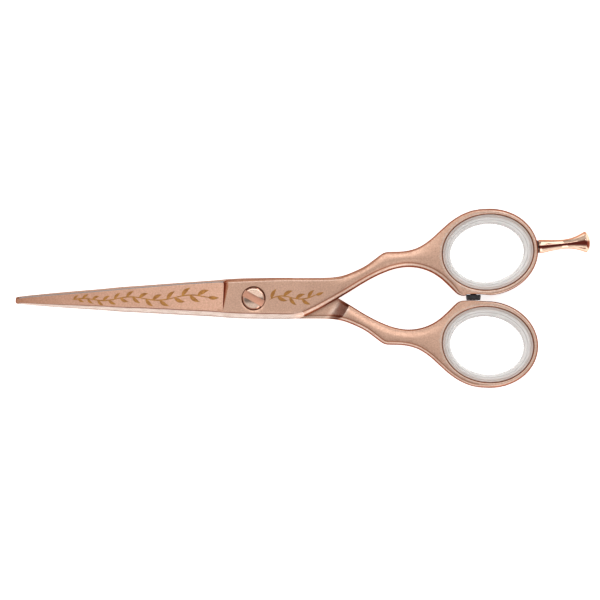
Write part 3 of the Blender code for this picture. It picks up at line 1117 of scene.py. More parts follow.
    def outline(self) -> list[Stretch]:
        """Divides the outline by how its rims are dressed.

        Returns:
            The stretches, anticlockwise from the tip.
        """
        tip = flowing([self.leaned(p) for p in self.tip_edge], 6)
        back = flowing([*self.blade_back, *self.inner_edge[:1]])
        inner = flowing(self.inner_edge)
        beside_bumper = self.socket_edge if self.side is Side.FINGER else self.plain_edge
        meeting = flowing([self.inner_edge[-1], *beside_bumper])
        low_arc = self.ring.loop(np.radians(np.linspace(-92, -48, 24)))
        end_arc = self.ring.loop(np.radians(np.linspace(-48, 0, 26)))
        top_arc = self.ring.loop(np.radians(np.linspace(0, 85, 44)))
        outer = flowing(self.outer_edge)
        heel = np.array([self.outer_edge[-1], (-7.25, 4.8), (-7.75, 4.56), self.cutting_edge[0]])
        edge = flowing(self.cutting_edge)
        x, w = np.array(self.back_rim).T
        cuts = [np.abs(back[:, 0] - a).argmin() for a in x]
        blade = [
            Stretch(back[i : j + 1], Rim.BLADE_BACK, (a, b), Rim.STEEP, (0.36, 0.36))
            for i, j, a, b in zip(cuts, cuts[1:], w, w[1:])
        ]
        at_ramp, at_corner = (np.abs(inner[:, 0] - a).argmin() for a in (self.strip_fade[1], 53))
        at_joint = 150
        return [
            *blade,
            Stretch(inner[: at_ramp + 1], Rim.BLADE_BACK, (1.42, 1.34), Rim.ROUND, (0.15, 0.3)),
            Stretch(inner[at_ramp : at_corner + 1], Rim.STRIP, (1.3, 1.12), Rim.ROUND, (0.55, 0.55)),
            Stretch(inner[at_corner:], Rim.STRIP, (1.1, 0.35), Rim.ROUND, (0.55, 0.3)),
            Stretch(meeting, Rim.ROUND, (0.3, 0.35), Rim.ROUND, (0.3, 0.3)),
            Stretch(low_arc, Rim.STRIP, (0.45, 0.55), Rim.RING, (0.45, 0.6)),
            Stretch(end_arc, Rim.RING, (0.6, 0.62), Rim.RING, (0.6, 0.62)),
            Stretch(top_arc, Rim.RING, (0.62, 0.78), Rim.RING, (0.62, 0.78)),
            Stretch(outer[:at_joint], Rim.ROUND, (0.55, 0.5), Rim.STRIP, (0.75, 1.0)),
            Stretch(outer[at_joint:], Rim.CHAMFER, (0.85, 0.75), Rim.STRIP, (1.0, 0.15)),
            Stretch(heel, Rim.CHAMFER, (0.6, 0.3), Rim.ROUND, (0.15, 0.15)),
            Stretch(edge, Rim.CUTTING, (0.2, 0.15), Rim.ROUND, (0.15, 0.15)),
            Stretch(tip, Rim.STEEP, (0.25, 0.3), Rim.ROUND, (0.1, 0.1)),
        ]

    def ridge_height(self, x: np.ndarray) -> np.ndarray:
        """Height of the blade's ridge at x."""
        return np.interp(x, [-63.3, self.heel_x], [self.ridge_at_tip, self.thickness])

    def heel_foot(self, y: np.ndarray) -> np.ndarray:
        """X of the heel step's foot at y."""
        return self.heel_x + self.heel_slope * (y - self.heel_y)

    def across_blade(self, p: np.ndarray, joint_points: int, inset: np.ndarray | float = 0.0) -> np.ndarray:
        """Place across the blade, from 0 at its back to 1 at its cutting edge.

        Args:
            p: Rows of x and y.
            joint_points: How many points of the inner edge carry the back on.
            inset: How far from the back the place is 0.

        Returns:
            One place for each point.
        """
        back = np.array([*self.blade_back, *self.inner_edge[:joint_points]])
        edge = np.array(self.cutting_edge)[::-1]
        low, high = np.interp(p[:, 0], *back.T) + inset, np.interp(p[:, 0], *edge.T)
        return np.clip((p[:, 1] - low) / np.maximum(high - low, 0.3), 0, 1)

    def ramp_place(self, p: np.ndarray) -> np.ndarray:
        """Place along the ramp, from 0 at its foot to 1 at its top.

        Args:
            p: Rows of x and y.

        Returns:
            One place for each point, below 0 before the foot and above 1 past the top.
        """
        t = math.radians(self.ramp_turn)
        along = p[:, 0] * math.cos(t) + p[:, 1] * math.sin(t)
        return (along - self.ramp[0]) / (self.ramp[1] - self.ramp[0])

    def face_height(self, p: np.ndarray) -> np.ndarray:
        """Height of the front face, before its rims.

        Args:
            p: Rows of x and y.

        Returns:
            One height for each point.
        """
        x, y = p[:, 0], p[:, 1]
        across = self.across_blade(p, 3, np.interp(x, *np.array(self.back_rim).T))
        ridge = self.ridge_height(x)
        blade = ridge + (self.gap + 0.2 - ridge) * across
        climb = np.maximum(self.thickness - blade, 0.02)
        rise = np.clip((x - self.heel_foot(y)) / (self.heel_run * climb), 0, 1)
        joined = blade + climb * (1 - (1 - rise) ** 2.2)
        return joined - self.crown(p, 2)

    def crown(self, p: np.ndarray, power: int) -> np.ndarray:
        """Fall of the crowned shank from its middle to its edges.

        Args:
            p: Rows of x and y.
            power: How late the fall comes, as a power of the distance from the middle.

        Returns:
            The fall at each point.
        """
        inner, outer = flowing(self.inner_edge, 3), flowing(self.outer_edge, 3)
        before_ring = 66
        one, other = reach_to(p, inner[:before_ring]), reach_to(p, outer)
        across = np.clip((one - 1.1) / np.maximum(one + other - 1.5, 0.5), 0, 1)
        held = ease(p[:, 0], 19, 27) * (1 - 0.35 * ease(p[:, 0], 40, 52))
        return self.crown_height * held * np.abs(2 * across - 1) ** power

    def plate_height(self, p: np.ndarray) -> np.ndarray:
        """Height of the joint's inner face, its hollow blade and the ramp down to the full thickness.

        Args:
            p: Rows of x and y.

        Returns:
            One height for each point.
        """
        along = self.ramp_place(p)
        ramp = self.gap - (self.thickness + self.gap) * np.clip(along, 0, 1) ** 2
        across = self.across_blade(p, 2)
        sides = ease(across, 0.07, 0.5) * ease(1 - across, 0.07, 0.5)
        hollow = 0.14 * sides * (1 - ease(p[:, 0], -14, -7))
        return ramp + np.where(along < 0, hollow, 0)

    def painted_ramp_highlight(self, p: np.ndarray) -> np.ndarray:
        """Painted highlight on the ramp at each point, strongest near its top."""
        along = self.ramp_place(p)
        return 0.85 * ease(along, 0.0, 0.3) * (1 - ease(along, 1.0, 1.15))

    def under_height(self, p: np.ndarray, depth: np.ndarray | float = 0.0) -> np.ndarray:
        """Height of the side that faces the other half, with the rim's depth taken off."""
        full = -self.thickness + self.crown(p, 4) + depth
        return np.maximum(full, self.plate_height(p))

    def build(self, palette: Palette) -> bpy.types.Object:
        """Builds the half's mesh.

        Args:
            palette: The finishes.

        Returns:
            The half.
        """
        points, widths, depths, rims = self.dressed_outline()
        tangent = np.roll(points, -1, axis=0) - np.roll(points, 1, axis=0)
        tangent = smoothed(tangent / np.linalg.norm(tangent, axis=1)[:, None], 2)
        inward = np.column_stack([-tangent[:, 1], tangent[:, 0]])
        shell = Shell()
        kinds, shares = list(Rim), np.array(self.shares)
        rows: list[list[list[int]]] = [[], []]
        for side, height in enumerate((self.face_height, self.under_height)):
            # Painted highlights along the rims, softened round the outline.
            rubbed = smoothed(np.array([kinds[r].rubbed(shares) for r in rims[side]]), 4)
            # Painted shade along the rims, softened round the outline.
            scorched = smoothed(np.array([kinds[r].scorched(shares) for r in rims[side]]), 4)
            for k, share in enumerate(self.shares):
                plan = points + inward * (widths[side] * share)[:, None]
                deep = depths[side][:, k]
                z = height(plan) - deep if side == 0 else height(plan, deep)
                tones_here = {"rubbed": rubbed[:, k], "scorched": scorched[:, k]}
                if side == 0:
                    polish = rims[0] == kinds.index(Rim.BLADE_BACK)
                    tones_here["faded"] = np.where(polish, ease(points[:, 0], *self.strip_fade), 0.0)
                rows[side].append(shell.row(plan, z, **tones_here))
        for kind, share in ((Rim.BLADE_BACK, 1.0), (Rim.CUTTING, 1.0), (Rim.CHAMFER, 0.76)):
            shell.crease(rows[0][self.shares.index(share)], rims[0] == kinds.index(kind))
        shell.crease(rows[1][self.shares.index(1.0)], rims[1] == kinds.index(Rim.STEEP))
        special = [rims[0] == kinds.index(kind) for kind in (Rim.BLADE_BACK, Rim.CUTTING)]
        strip = np.select(special, [1, 2], 0)
        for k in range(len(self.shares) - 1):
            shell.band(rows[0][k], rows[0][k + 1], strip if self.shares[k] < 1 else 0)
            shell.band(rows[1][k + 1], rows[1][k])
        shell.band(rows[1][0], rows[0][0], np.where(strip == 2, 2, 0))
        mouths = [self.ring_hole(shell), self.pivot_bore(shell)]
        self.fill_face(shell, rows[0][-1], [m[0] for m in mouths], self.face_height, True)
        self.fill_face(shell, rows[1][-1], [m[1] for m in mouths], self.under_height, False)
        name = f"{self.side.name.lower()}_blade_forging"
        return shell.object(name, [palette.satin, palette.polished, palette.steel])

    def dressed_outline(self) -> tuple[np.ndarray, list[np.ndarray], list[np.ndarray], list[np.ndarray]]:
        """Joins the stretches into one even outline.

        Returns:
            The outline's points; the front and back rims' widths; their depths; and their kinds, as numbers.
        """
        kinds = list(Rim)
        points, widths, rims = [], ([], []), ([], [])
        for stretch in self.outline():
            line = evenly(stretch.points, self.step)[:-1]
            share = np.linspace(0, 1, len(line), endpoint=False)
            points.append(line)
            dressing = ((stretch.front, stretch.front_width), (stretch.back, stretch.back_width))
            for k, (rim, ends) in enumerate(dressing):
                widths[k].append(ends[0] + (ends[1] - ends[0]) * share)
                rims[k].append(np.full(len(line), kinds.index(rim)))
        outline = np.vstack(points)
        flat = [np.concatenate(w) for w in widths]
        kinds_at = [np.concatenate(r) for r in rims]
        depths = []
        for k in range(2):
            deep = np.zeros((len(outline), len(self.shares)))
            for number, rim in enumerate(kinds):
                mine = kinds_at[k] == number
                deep[mine] = rim.depth(np.array(self.shares), flat[k][mine])
            depths.append(smoothed(deep, 3))
            flat[k] = smoothed(flat[k], 5)
        return outline, flat, depths, kinds_at

    def lip_row(
        self,
        shell: Shell,
        angles: np.ndarray,
        share: float,
        height: Callable[[np.ndarray], np.ndarray],
        sign: int,
    ) -> list[int]:
        """Adds a row of a rounded lip of the ring's hole.

        Args:
            shell: The half's shell.
            angles: Angles round the hole, in radians.
            share: Place across the lip, from 0 in the hole to 1 at the face.
            height: Gives the face's height.
            sign: -1 for the front face and 1 for the under side.

        Returns:
            The numbers of the new points.
        """
        plan = self.recess.loop(angles, self.lip * share)
        fall = self.lip_depth * (1 - math.sqrt(1 - (1 - share) ** 2))
        # Painted shade in the crevice beside the insert, and a painted highlight where the lip meets the
        # face.
        scorched, rubbed = max(0.0, 1 - 1.9 * share), max(0.0, 1.5 * share - 0.6)
        return shell.row(plan, height(plan) + sign * fall, scorched=scorched, rubbed=rubbed)

    def ring_hole(self, shell: Shell) -> tuple[list[int], list[int]]:
        """Cuts the ring's hole, with rounded lips and the land that holds the insert.

        Args:
            shell: The half's shell.

        Returns:
            The loops at the front and at the back.
        """
        angles = np.linspace(0, math.tau, 170, endpoint=False)
        land, inset = self.thickness - 1.2, -0.9
        shares = (1.0, 0.8, 0.55, 0.3, 0.1, 0.0)
        rows = [self.lip_row(shell, angles, share, self.face_height, -1) for share in shares]
        for out, z in ((0.0, land), (inset, land), (inset, -land), (0.0, -land)):
            rows.append(shell.row(self.recess.loop(angles, out), z))
        rows += [self.lip_row(shell, angles, share, self.under_height, 1) for share in reversed(shares)]
        shell.skin(rows)
        return rows[0], rows[-1]

    def pivot_bore(self, shell: Shell) -> tuple[list[int], list[int]]:
        """Cuts the screw's bore, with a counterbore for its head or a recess for the glide washer.

        Args:
            shell: The half's shell.

        Returns:
            The loops at the front and at the back.
        """
        unit = unit_circle(72)
        top, low = self.thickness, self.gap
        if self.side is Side.FINGER:
            lip = ((3.3, top), (3.2, top - 0.06), (3.15, top - 0.16))
            profile = (*lip, (3.15, 1.7), (2.05, 1.7), (2.05, low))
        else:
            profile = ((1.9, top), (1.8, top - 0.1), (1.8, 0.4), (3.65, 0.4), (3.65, low))
        # Painted shade on the walls inside the bore and counterbore.
        rows = [shell.row(unit * r, z, scorched=0.9 if 1.0 < z < top else 0.0) for r, z in profile]
        shell.skin(rows)
        return rows[0], rows[-1]

    def fill_face(
        self,
        shell: Shell,
        outside: list[int],
        holes: list[list[int]],
        height: Callable[[np.ndarray], np.ndarray],
        front: bool,
    ) -> None:
        """Fills a face between its outline and its holes with small triangles.

        Args:
            shell: The half's shell.
            outside: The face's outer loop.
            holes: The loops of its holes.
            height: Gives the face's height.
            front: Whether it is the front face.
        """
        flat = np.array([p[:2] for p in shell.points])
        loops = [outside, *holes]
        rim = np.vstack([flat[loop] for loop in loops])
        grid = self.fill_points(front)
        grid = grid[enclosed(grid, flat[outside]) & ~np.any([enclosed(grid, flat[h]) for h in holes], axis=0)]
        near = np.array([np.min(np.sum((rim - g) ** 2, axis=1)) for g in grid])
        grid = grid[near > (0.42 * self.fill) ** 2]
        # Painted highlight along the ramp, on the under side only.
        ramp_highlight = 0 if front else self.painted_ramp_highlight(grid)
        numbers = [n for loop in loops for n in loop] + shell.row(grid, height(grid), rubbed=ramp_highlight)
        edges, start = [], 0
        for loop in loops:
            edges += [(start + i, start + (i + 1) % len(loop)) for i in range(len(loop))]
            start += len(loop)
        where = np.vstack([rim, grid])
        _, _, faces, origins, _, _ = delaunay_2d_cdt([Vector(p) for p in where], edges, [], 0, 1e-7, True)
        tri = np.array([[origins[i][0] if origins[i] else -1 for i in f] for f in faces])
        tri = tri[(tri >= 0).all(axis=1)]
        middle = where[tri].mean(axis=1)
        keep = enclosed(middle, flat[outside]) & ~np.any([enclosed(middle, flat[h]) for h in holes], axis=0)
        for a, b, c in tri[keep]:
            shell.faces.append((numbers[a], numbers[b], numbers[c]))
            shell.finishes.append(0)

    def fill_points(self, front: bool) -> np.ndarray:
        """Points that fill a face: a triangular grid, and lines along the heel step or the ramp.

        Args:
            front: Whether it is the front face.

        Returns:
            Rows of x and y.
        """
        xs, ys = np.meshgrid(np.arange(-63, 76, self.fill), np.arange(-6, 25, self.fill * 0.866))
        xs[1::2] += self.fill / 2
        grid = np.column_stack([xs.ravel(), ys.ravel()])
        if front:
            y = np.arange(-3.6, 4.6, 0.3)
            foot = self.heel_foot(y)
            before_step = np.column_stack([foot, y]) - (0.02, 0)
            wide = np.clip(self.thickness - self.face_height(before_step), 0, 9) * self.heel_run
            lines = [np.column_stack([foot + wide * share, y]) for share in (0, 0.13, 0.3, 0.55, 1.0)]
        else:
            t = math.radians(self.ramp_turn)
            side = np.arange(-30, 30, 0.35)
            lines = [
                np.column_stack([a * math.cos(t) - side * math.sin(t), a * math.sin(t) + side * math.cos(t)])
                for a in np.linspace(self.ramp[0], self.ramp[1], 8)
            ]
        for line in lines:
            far = np.min(np.linalg.norm(grid[:, None] - line[None], axis=2), axis=1) > 0.55 * self.fill
            grid = grid[far]
        spaced = lines[:1]
        for line in lines[1:]:
            near = np.min(np.linalg.norm(line[:, None] - np.vstack(spaced)[None], axis=2), axis=1)
            spaced.append(line[near > 0.06])
        return np.vstack([grid, *spaced])

    def add(self, palette: Palette) -> None:
        """Builds the half and puts it in place."""
        node = f"{self.side.name.lower()}_blade"
        settle(self.build(palette), self.side.frame, self.side.body, [node])


# --------------------------------------------------------------------------------------------------
# Fittings
# --------------------------------------------------------------------------------------------------


@dataclass
class TensionScrew:
    """Slotted screw with a polished, slightly domed head.

    Attributes:
        head: Radius of the head.
        seat: Height of the head's underside.
        top: Height of the head's middle.
        slot_width: Width of the slot.
        slot_floor: Height of the slot's floor.
        slot_turn: Direction of the slot, in degrees.
        thread: Radius of the thread's crests and of its roots.
        journal: Radius of the smooth part that the halves turn on.
    """

    head: float = 3.05
    seat: float = 2.15
    top: float = 3.33
    slot_width: float = 1.85
    slot_floor: float = 2.7
    slot_turn: float = -29.0
    thread: Point = (1.75, 1.58)
    journal: float = 2.0

    def add(self, palette: Palette) -> None:
        """Builds the screw and puts it in place.

        Args:
            palette: The finishes.
        """
        rim = self.top - 0.41
        crest, root = self.thread
        profile = [(1.55, -2.85), (crest, -2.65)]
        for turn in np.arange(-2.5, -0.6, 0.35):
            profile += [(crest, turn), (root, turn + 0.12), (crest, turn + 0.24)]
        profile += [(crest, -0.35), (self.journal, -0.35), (self.journal, self.seat)]
        profile += [(self.head - 0.08, self.seat), (self.head, self.seat + 0.08)]
        profile += [(self.head, rim - 0.28), *arc_points((self.head - 0.3, rim - 0.28), 0.3, 12, 62, 6)]
        dome = (0.88, 0.8, 0.7, 0.55, 0.4, 0.25, 0.1)
        profile += [(self.head * f, rim + 0.02 + 0.39 * (1 - f**2)) for f in dome]
        finishes = [palette.turned, palette.scoured]
        screw = turned_shell(profile, 96, shut=False).object("tension_screw", finishes)
        self.cut_slot(screw)
        settle(screw, Side.FINGER.frame, "tension_screw", ["pivot_screw"])

    def cut_slot(self, screw: bpy.types.Object) -> None:
        """Cuts the slot across the head, with a scoured floor.

        Args:
            screw: The whole screw.
        """
        bm = bmesh.new()
        bmesh.ops.create_cube(bm, size=1.0)
        size = Vector((9.0, self.slot_width, 2.0)) * MM
        bmesh.ops.scale(bm, vec=size, verts=bm.verts)
        bmesh.ops.bevel(bm, geom=bm.edges[:], offset=0.07 * MM, segments=2, affect="EDGES", profile=0.5)
        mesh = bpy.data.meshes.new("slot_cutter")
        bm.to_mesh(mesh)
        bm.free()
        cutter = bpy.data.objects.new("slot_cutter", mesh)
        lift = Matrix.Translation((0, 0, (self.slot_floor + 1.0) * MM))
        cutter.matrix_world = lift @ Matrix.Rotation(math.radians(self.slot_turn), 4, "Z")
        bpy.context.scene.collection.objects.link(cutter)
        cut = screw.modifiers.new("slot", "BOOLEAN")
        cut.operation, cut.object, cut.solver = "DIFFERENCE", cutter, "EXACT"
        bake(screw)
        bpy.data.objects.remove(cutter)
        across = Matrix.Rotation(-math.radians(self.slot_turn), 3, "Z")
        for face in screw.data.polygons:
            middle = across @ face.center / MM
            if abs(middle.y) < self.slot_width / 2 + 0.01 and middle.z > self.slot_floor - 0.05:
                face.material_index = 1
        screw.data.set_sharp_from_angle(angle=math.radians(CRISP))


def bake(obj: bpy.types.Object) -> None:
    """Applies an object's modifiers to its mesh.

    Args:
        obj: The object.
    """
    graph = bpy.context.evaluated_depsgraph_get()
    made = bpy.data.meshes.new_from_object(obj.evaluated_get(graph))
    obj.modifiers.clear()
    obj.data = made


@dataclass
class Washers:
    """Spring washer under the head and nylon glide washer between the halves.

    Attributes:
        spring_inner: Inner radius of the spring washer.
        spring_outer: Its outer radius.
        spring_low: Height of its lower edge.
        sheet: Its thickness.
        cone: How far it is dished.
        glide_inner: Inner radius of the glide washer.
        glide_outer: Its outer radius.
        glide_low: Height of its lower face.
        glide_top: Height of its upper face.
        edge: Width of the glide washer's chamfers.
    """

    spring_inner: float = 2.1
    spring_outer: float = 3.0
    spring_low: float = 1.75
    sheet: float = 0.2
    cone: float = 0.14
    glide_inner: float = 2.1
    glide_outer: float = 3.6
    glide_low: float = -0.35
    glide_top: float = 0.05
    edge: float = 0.06

    def add(self, palette: Palette) -> None:
        """Builds both washers and puts them in place.

        Args:
            palette: The finishes.
        """
        inner, outer, low, sheet = self.spring_inner, self.spring_outer, self.spring_low, self.sheet
        section = [
            (outer, low),
            (outer + 0.03, low + sheet / 2),
            (outer, low + sheet),
            (inner, low + sheet + self.cone),
            (inner - 0.03, low + sheet / 2 + self.cone),
            (inner, low + self.cone),
        ]
        spring = turned_shell(section, 72).object("spring_washer_dished", [palette.steel])
        settle(spring, Side.FINGER.frame, "finger_half", ["spring_washer"])
        inner, outer, low, top, edge = (
            self.glide_inner, self.glide_outer, self.glide_low, self.glide_top, self.edge,
        )  # fmt: skip
        section = [(inner, low + edge), (inner + edge, low), (outer - edge, low), (outer, low + edge)]
        section += [(outer, top - edge), (outer - edge, top), (inner + edge, top), (inner, top - edge)]
        glide = turned_shell(section, 72).object("glide_washer_nylon", [palette.nylon])
        settle(glide, Side.FINGER.frame, "thumb_half", ["glide_washer"])


@dataclass
class RingInsert:
    """Clear insert that lines a ring, thick at its faces and rounded inside.

    Attributes:
        side: The half that it sits in.
        shift: How far its opening is moved from the ring's centre.
        recess: The hole that it fills.
        face: Height of its faces.
        width: From the ring's hole to its opening.
    """

    side: Side
    shift: Point
    recess: RingOval = RingOval((12.2, 10.1))
    face: float = 2.62
    width: float = 2.42

    def section(self) -> list[Point]:
        """Runs round the section of the insert.

        Returns:
            Pairs of distance outside the hole and height.
        """
        f = self.face
        upper = [
            (-0.98, 0.0), (-0.98, 1.57), (-0.08, 1.57), (-0.08, f - 0.2), (-0.13, f - 0.07), (-0.25, f),
            (-0.5, f - 0.01), (-0.58, f - 0.1), (-0.68, f - 0.14), (-0.78, f - 0.08), (-0.9, f - 0.02),
            (-1.1, f - 0.04), (-1.3, f - 0.12), (-1.42, f - 0.32), (-1.52, f - 0.42), (-1.68, f - 0.44),
            (-1.9, f - 0.52), (-2.1, f - 0.7), (-2.25, f - 0.98), (-2.36, f - 1.45), (-2.42, f - 2.1),
        ]  # fmt: skip
        return [*upper, *[(out, -z) for out, z in reversed(upper[1:])]]

    def add(self, palette: Palette) -> None:
        """Builds the insert and puts it in place.

        Args:
            palette: The finishes.
        """
        angles = np.linspace(0, math.tau, 180, endpoint=False)
        around = np.abs(np.sin(angles / 2))
        # Painted shade: one side of the insert is darkened.
        away = 1 if self.side is Side.FINGER else -1
        shaded = 0.5 + 0.5 * np.sin(angles * away)
        shell = Shell()
        rows = []
        for out, z in self.section():
            move = np.array(self.shift) * max(0.0, (-out - 1.0) / (self.width - 1.0))
            inside = np.array(-out)
            # Painted shade where it turns down into the opening, heavier on the shaded side, and dark lines
            # in its two creases.
            deep = 0.2 * shaded + peak(inside, 2.4, 0.55) * (0.1 + 0.8 * shaded)
            deep = deep + 0.7 * peak(inside, 1.42, 0.14) + 0.5 * peak(inside, 0.62, 0.12)
            marks = {"across": -out / self.width, "around": around, "scorched": deep}
            rows.append(shell.row(self.recess.loop(angles, out) + move, z, **marks))
        shell.skin(rows, returns=True)
        name = self.side.name.lower()
        piece = shell.object(f"{name}_ring_insert", [palette.silicone], crisp=50)
        settle(piece, self.side.frame, self.side.body, [f"{name}_insert"])


@dataclass
class Bumper:
    """Barrel-shaped rubber bumper between the rings.

    Attributes:
        x: Where it stands along the ring.
        radius: Its largest radius.
        free_end: Y of the end that meets the thumb ring.
        root: Y of its shoulder in the finger ring.
    """

    x: float = 58.8
    radius: float = 1.97
    free_end: float = -0.5
    root: float = 0.98

    def add(self, palette: Palette) -> None:
        """Builds the bumper and puts it in place.

        Args:
            palette: The finishes.
        """
        r, low, high = self.radius, -self.root, -self.free_end
        profile = [(0.83, -2.28), (0.85, low), (r - 0.12, low), (r - 0.02, low + 0.12)]
        profile += [(r, low + 0.45), (r, low + 0.7), (r - 0.03, high - 0.5), (r - 0.08, high - 0.3)]
        for a in np.radians([8, 30, 52, 74, 90]):
            profile.append((r - 0.28 + 0.2 * math.cos(a), high - 0.22 + 0.22 * math.sin(a)))
        profile += [(r - 0.7, high - 0.03), (0.4, high - 0.05)]
        piece = turned_shell(profile, 80, shut=False).object("ring_bumper", [palette.rubber])
        place = Side.FINGER.frame @ Matrix.Translation((self.x * MM, 0, 0))
        place @= Matrix.Rotation(math.radians(90), 4, "X")
        settle(piece, place, "finger_half", ["bumper"])


@dataclass
class FingerRest:
    """Turned finger rest with a flared end, a slim waist and a stud.

    Attributes:
        base: Where its axis leaves the ring.
        lean: Angle of its axis from X, in degrees.
        waist: Pairs of radius and height along the waist.
        stud: Radius of the stud's crests and of its roots.
    """

    base: Point = (75.95, 13.8)
    lean: float = 5.6
    waist: tuple[Point, ...] = (
        (1.79, 0.62), (1.78, 1.2), (1.66, 2.4), (1.5, 3.6), (1.36, 5.0), (1.28, 6.3), (1.27, 7.4),
        (1.42, 8.9), (1.7, 10.1), (2.08, 11.2), (2.5, 12.15), (2.72, 12.62),
    )  # fmt: skip
    stud: Point = (1.2, 1.06)

    def place(self) -> Matrix:
        """Finds its own frame.

        Returns:
            The frame, with +Z out along its axis, in metres.
        """
        return (
            Side.FINGER.frame
            @ Matrix.Translation((self.base[0] * MM, self.base[1] * MM, 0))
            @ Matrix.Rotation(math.radians(90 + self.lean), 4, "Z")
            @ Matrix.Rotation(math.radians(90), 4, "X")
        )

    def add(self, palette: Palette) -> None:
        """Builds the rest and its washer and puts them in place.

        Args:
            palette: The finishes.
        """
        waist = flowing(self.waist, 5)
        crest, root = self.stud
        profile: list[Point] = [(1.0, -1.85), (crest, -1.65)]
        for turn in np.arange(-1.5, 0.0, 0.3):
            profile += [(crest, turn), (root, turn + 0.1), (crest, turn + 0.2)]
        profile += [(crest, 0.3), (1.55, 0.3), (1.7, 0.36), (1.77, 0.46)]
        profile += [(float(r), float(z)) for r, z in waist]
        profile += [(2.8, 12.78), (2.82, 12.92), (2.8, 13.04), (2.7, 13.16), (2.5, 13.36), (2.2, 13.58)]
        profile += [(1.7, 13.82), (1.1, 14.0), (0.5, 14.1), (0.12, 14.13)]
        shell = turned_shell(profile, 120, shut=False)
        rest = shell.object("turned_finger_rest", [palette.mirror], crisp=38)
        settle(rest, self.place(), "rest", ["finger_rest"])
        ring = [(1.27, -0.1), (1.62, -0.1), (1.72, -0.02), (1.72, 0.17), (1.62, 0.25), (1.27, 0.25)]
        washer = turned_shell(ring, 80).object("rest_washer_rubber", [palette.rubber])
        settle(washer, self.place(), "rest_washer", ["finger_rest_washer"])


# --------------------------------------------------------------------------------------------------
# Vine etched on the front
# --------------------------------------------------------------------------------------------------


@dataclass
class VineEtching:
    """A gilded vine of plain leaves along a stretch of the front face.

    Attributes:
        name: The piece's name.
        start: X where it starts.
        end: X where it ends.
        waves: Waves of the stem.
        count: Leaves along the stem.
        growth: How much longer its last wave is than its first.
        middle: Y of the stem's middle at the start, halfway and at the end.
        swing: Height of the stem's waves at the start and the end.
        leaf: Length of a leaf at the start and the end.
        lift: Height of the gilding over the face.
    """

    name: str
    start: float
    end: float
    waves: float
    count: int
    growth: float
    middle: tuple[float, float, float]
    swing: Point
    leaf: Point
    lift: float = 0.012

    def stem(self, share: np.ndarray) -> np.ndarray:
        """Points of the stem.

        Args:
            share: Places along the stem, from 0 to 1.

        Returns:
            Rows of x and y.
        """
        x = self.start + (self.end - self.start) * ((1 - self.growth) * share + self.growth * share**2)
        middle = np.interp(share, (0, 0.5, 1), self.middle)
        high = self.swing[0] + (self.swing[1] - self.swing[0]) * share
        held = ease(share, -0.05, 0.08) * (1 - 0.6 * ease(share, 0.93, 1.02))
        return np.column_stack([x, middle + high * held * np.sin(math.tau * self.waves * share)])

    def blade(
        self, root: np.ndarray, turn: float, bend: float, length: float, width: float
    ) -> tuple[np.ndarray, np.ndarray]:
        """Draws a leaf.

        Args:
            root: Where it starts.
            turn: Its direction at the root, in radians.
            bend: How far it turns by its tip, in radians.
            length: Its length.
            width: Its greatest width.

        Returns:
            Its middle line and its width at each point.
        """
        t = np.linspace(0, 1, 15)
        heading = turn + bend * t
        steps = np.column_stack([np.cos(heading), np.sin(heading)]) * length / (len(t) - 1)
        line = root + np.vstack([np.zeros(2), np.cumsum(steps[:-1], axis=0)])
        shape = np.sin(math.pi * t**0.8) ** 1.15
        return line, 0.09 + width * shape * np.clip((1.02 - t) * 6, 0, 1)

    def leaves(self) -> list[tuple[np.ndarray, np.ndarray]]:
        """Draws the leaves along the stem, left and right by turns, and one at its end.

        Returns:
            Each leaf's middle line and its width at each point.
        """
        made = []
        for i in range(self.count):
            share = (i + 0.35) / (self.count + 0.6)
            side = 1 if i % 2 == 0 else -1
            size = self.leaf[0] + (self.leaf[1] - self.leaf[0]) * share
            root, ahead = self.stem(np.array([share, share + 0.01]))
            turn = math.atan2(*(ahead - root)[::-1])
            made.append(self.blade(root, turn + side * 0.95, -side * 0.75, size, 0.3 * size))
        root, ahead = self.stem(np.array([0.99, 1.0]))
        turn = math.atan2(*(ahead - root)[::-1]) - 0.1
        made.append(self.blade(ahead, turn, 0.35, 0.85 * self.leaf[1], 0.26 * self.leaf[1]))
        return made

    def ribbon(
        self, shell: Shell, line: np.ndarray, width: np.ndarray, half: ForgedHalf, lift: float
    ) -> None:
        """Lays a ribbon on the face.

        Args:
            shell: The vine's shell.
            line: The ribbon's middle.
            width: Its width at each point.
            half: The half that it lies on.
            lift: Height of its top over the face.
        """
        along = np.gradient(line, axis=0)
        along /= np.linalg.norm(along, axis=1)[:, None]
        out = np.column_stack([-along[:, 1], along[:, 0]]) * (width / 2)[:, None]
        corners = ((line - out, lift), (line + out, lift), (line + out, -0.05), (line - out, -0.05))
        rows = [shell.row(edge, half.face_height(edge) + z) for edge, z in corners]
        shell.skin(rows, returns=True, closed=False)
        shell.cap([row[0] for row in rows])
        shell.cap([row[-1] for row in rows])

    def add(self, palette: Palette, half: ForgedHalf) -> None:
        """Builds the vine and puts it in place.

        Args:
            palette: The finishes.
            half: The half that it lies on.
        """
        share = np.linspace(0, 1, 160)
        thick = 0.24 + 0.1 * np.abs(np.sin(math.tau * self.waves * share))
        shell = Shell()
        self.ribbon(shell, self.stem(share), thick * np.clip(0.3 + 14 * share, 0, 1), half, self.lift)
        for i, (line, width) in enumerate(self.leaves()):
            self.ribbon(shell, line, width, half, self.lift + 0.001 * (1 + i % 3))
        piece = shell.object(self.name, [palette.gilt], crisp=60)
        settle(piece, Side.FINGER.frame, "finger_half")


# --------------------------------------------------------------------------------------------------
# Studio
# --------------------------------------------------------------------------------------------------


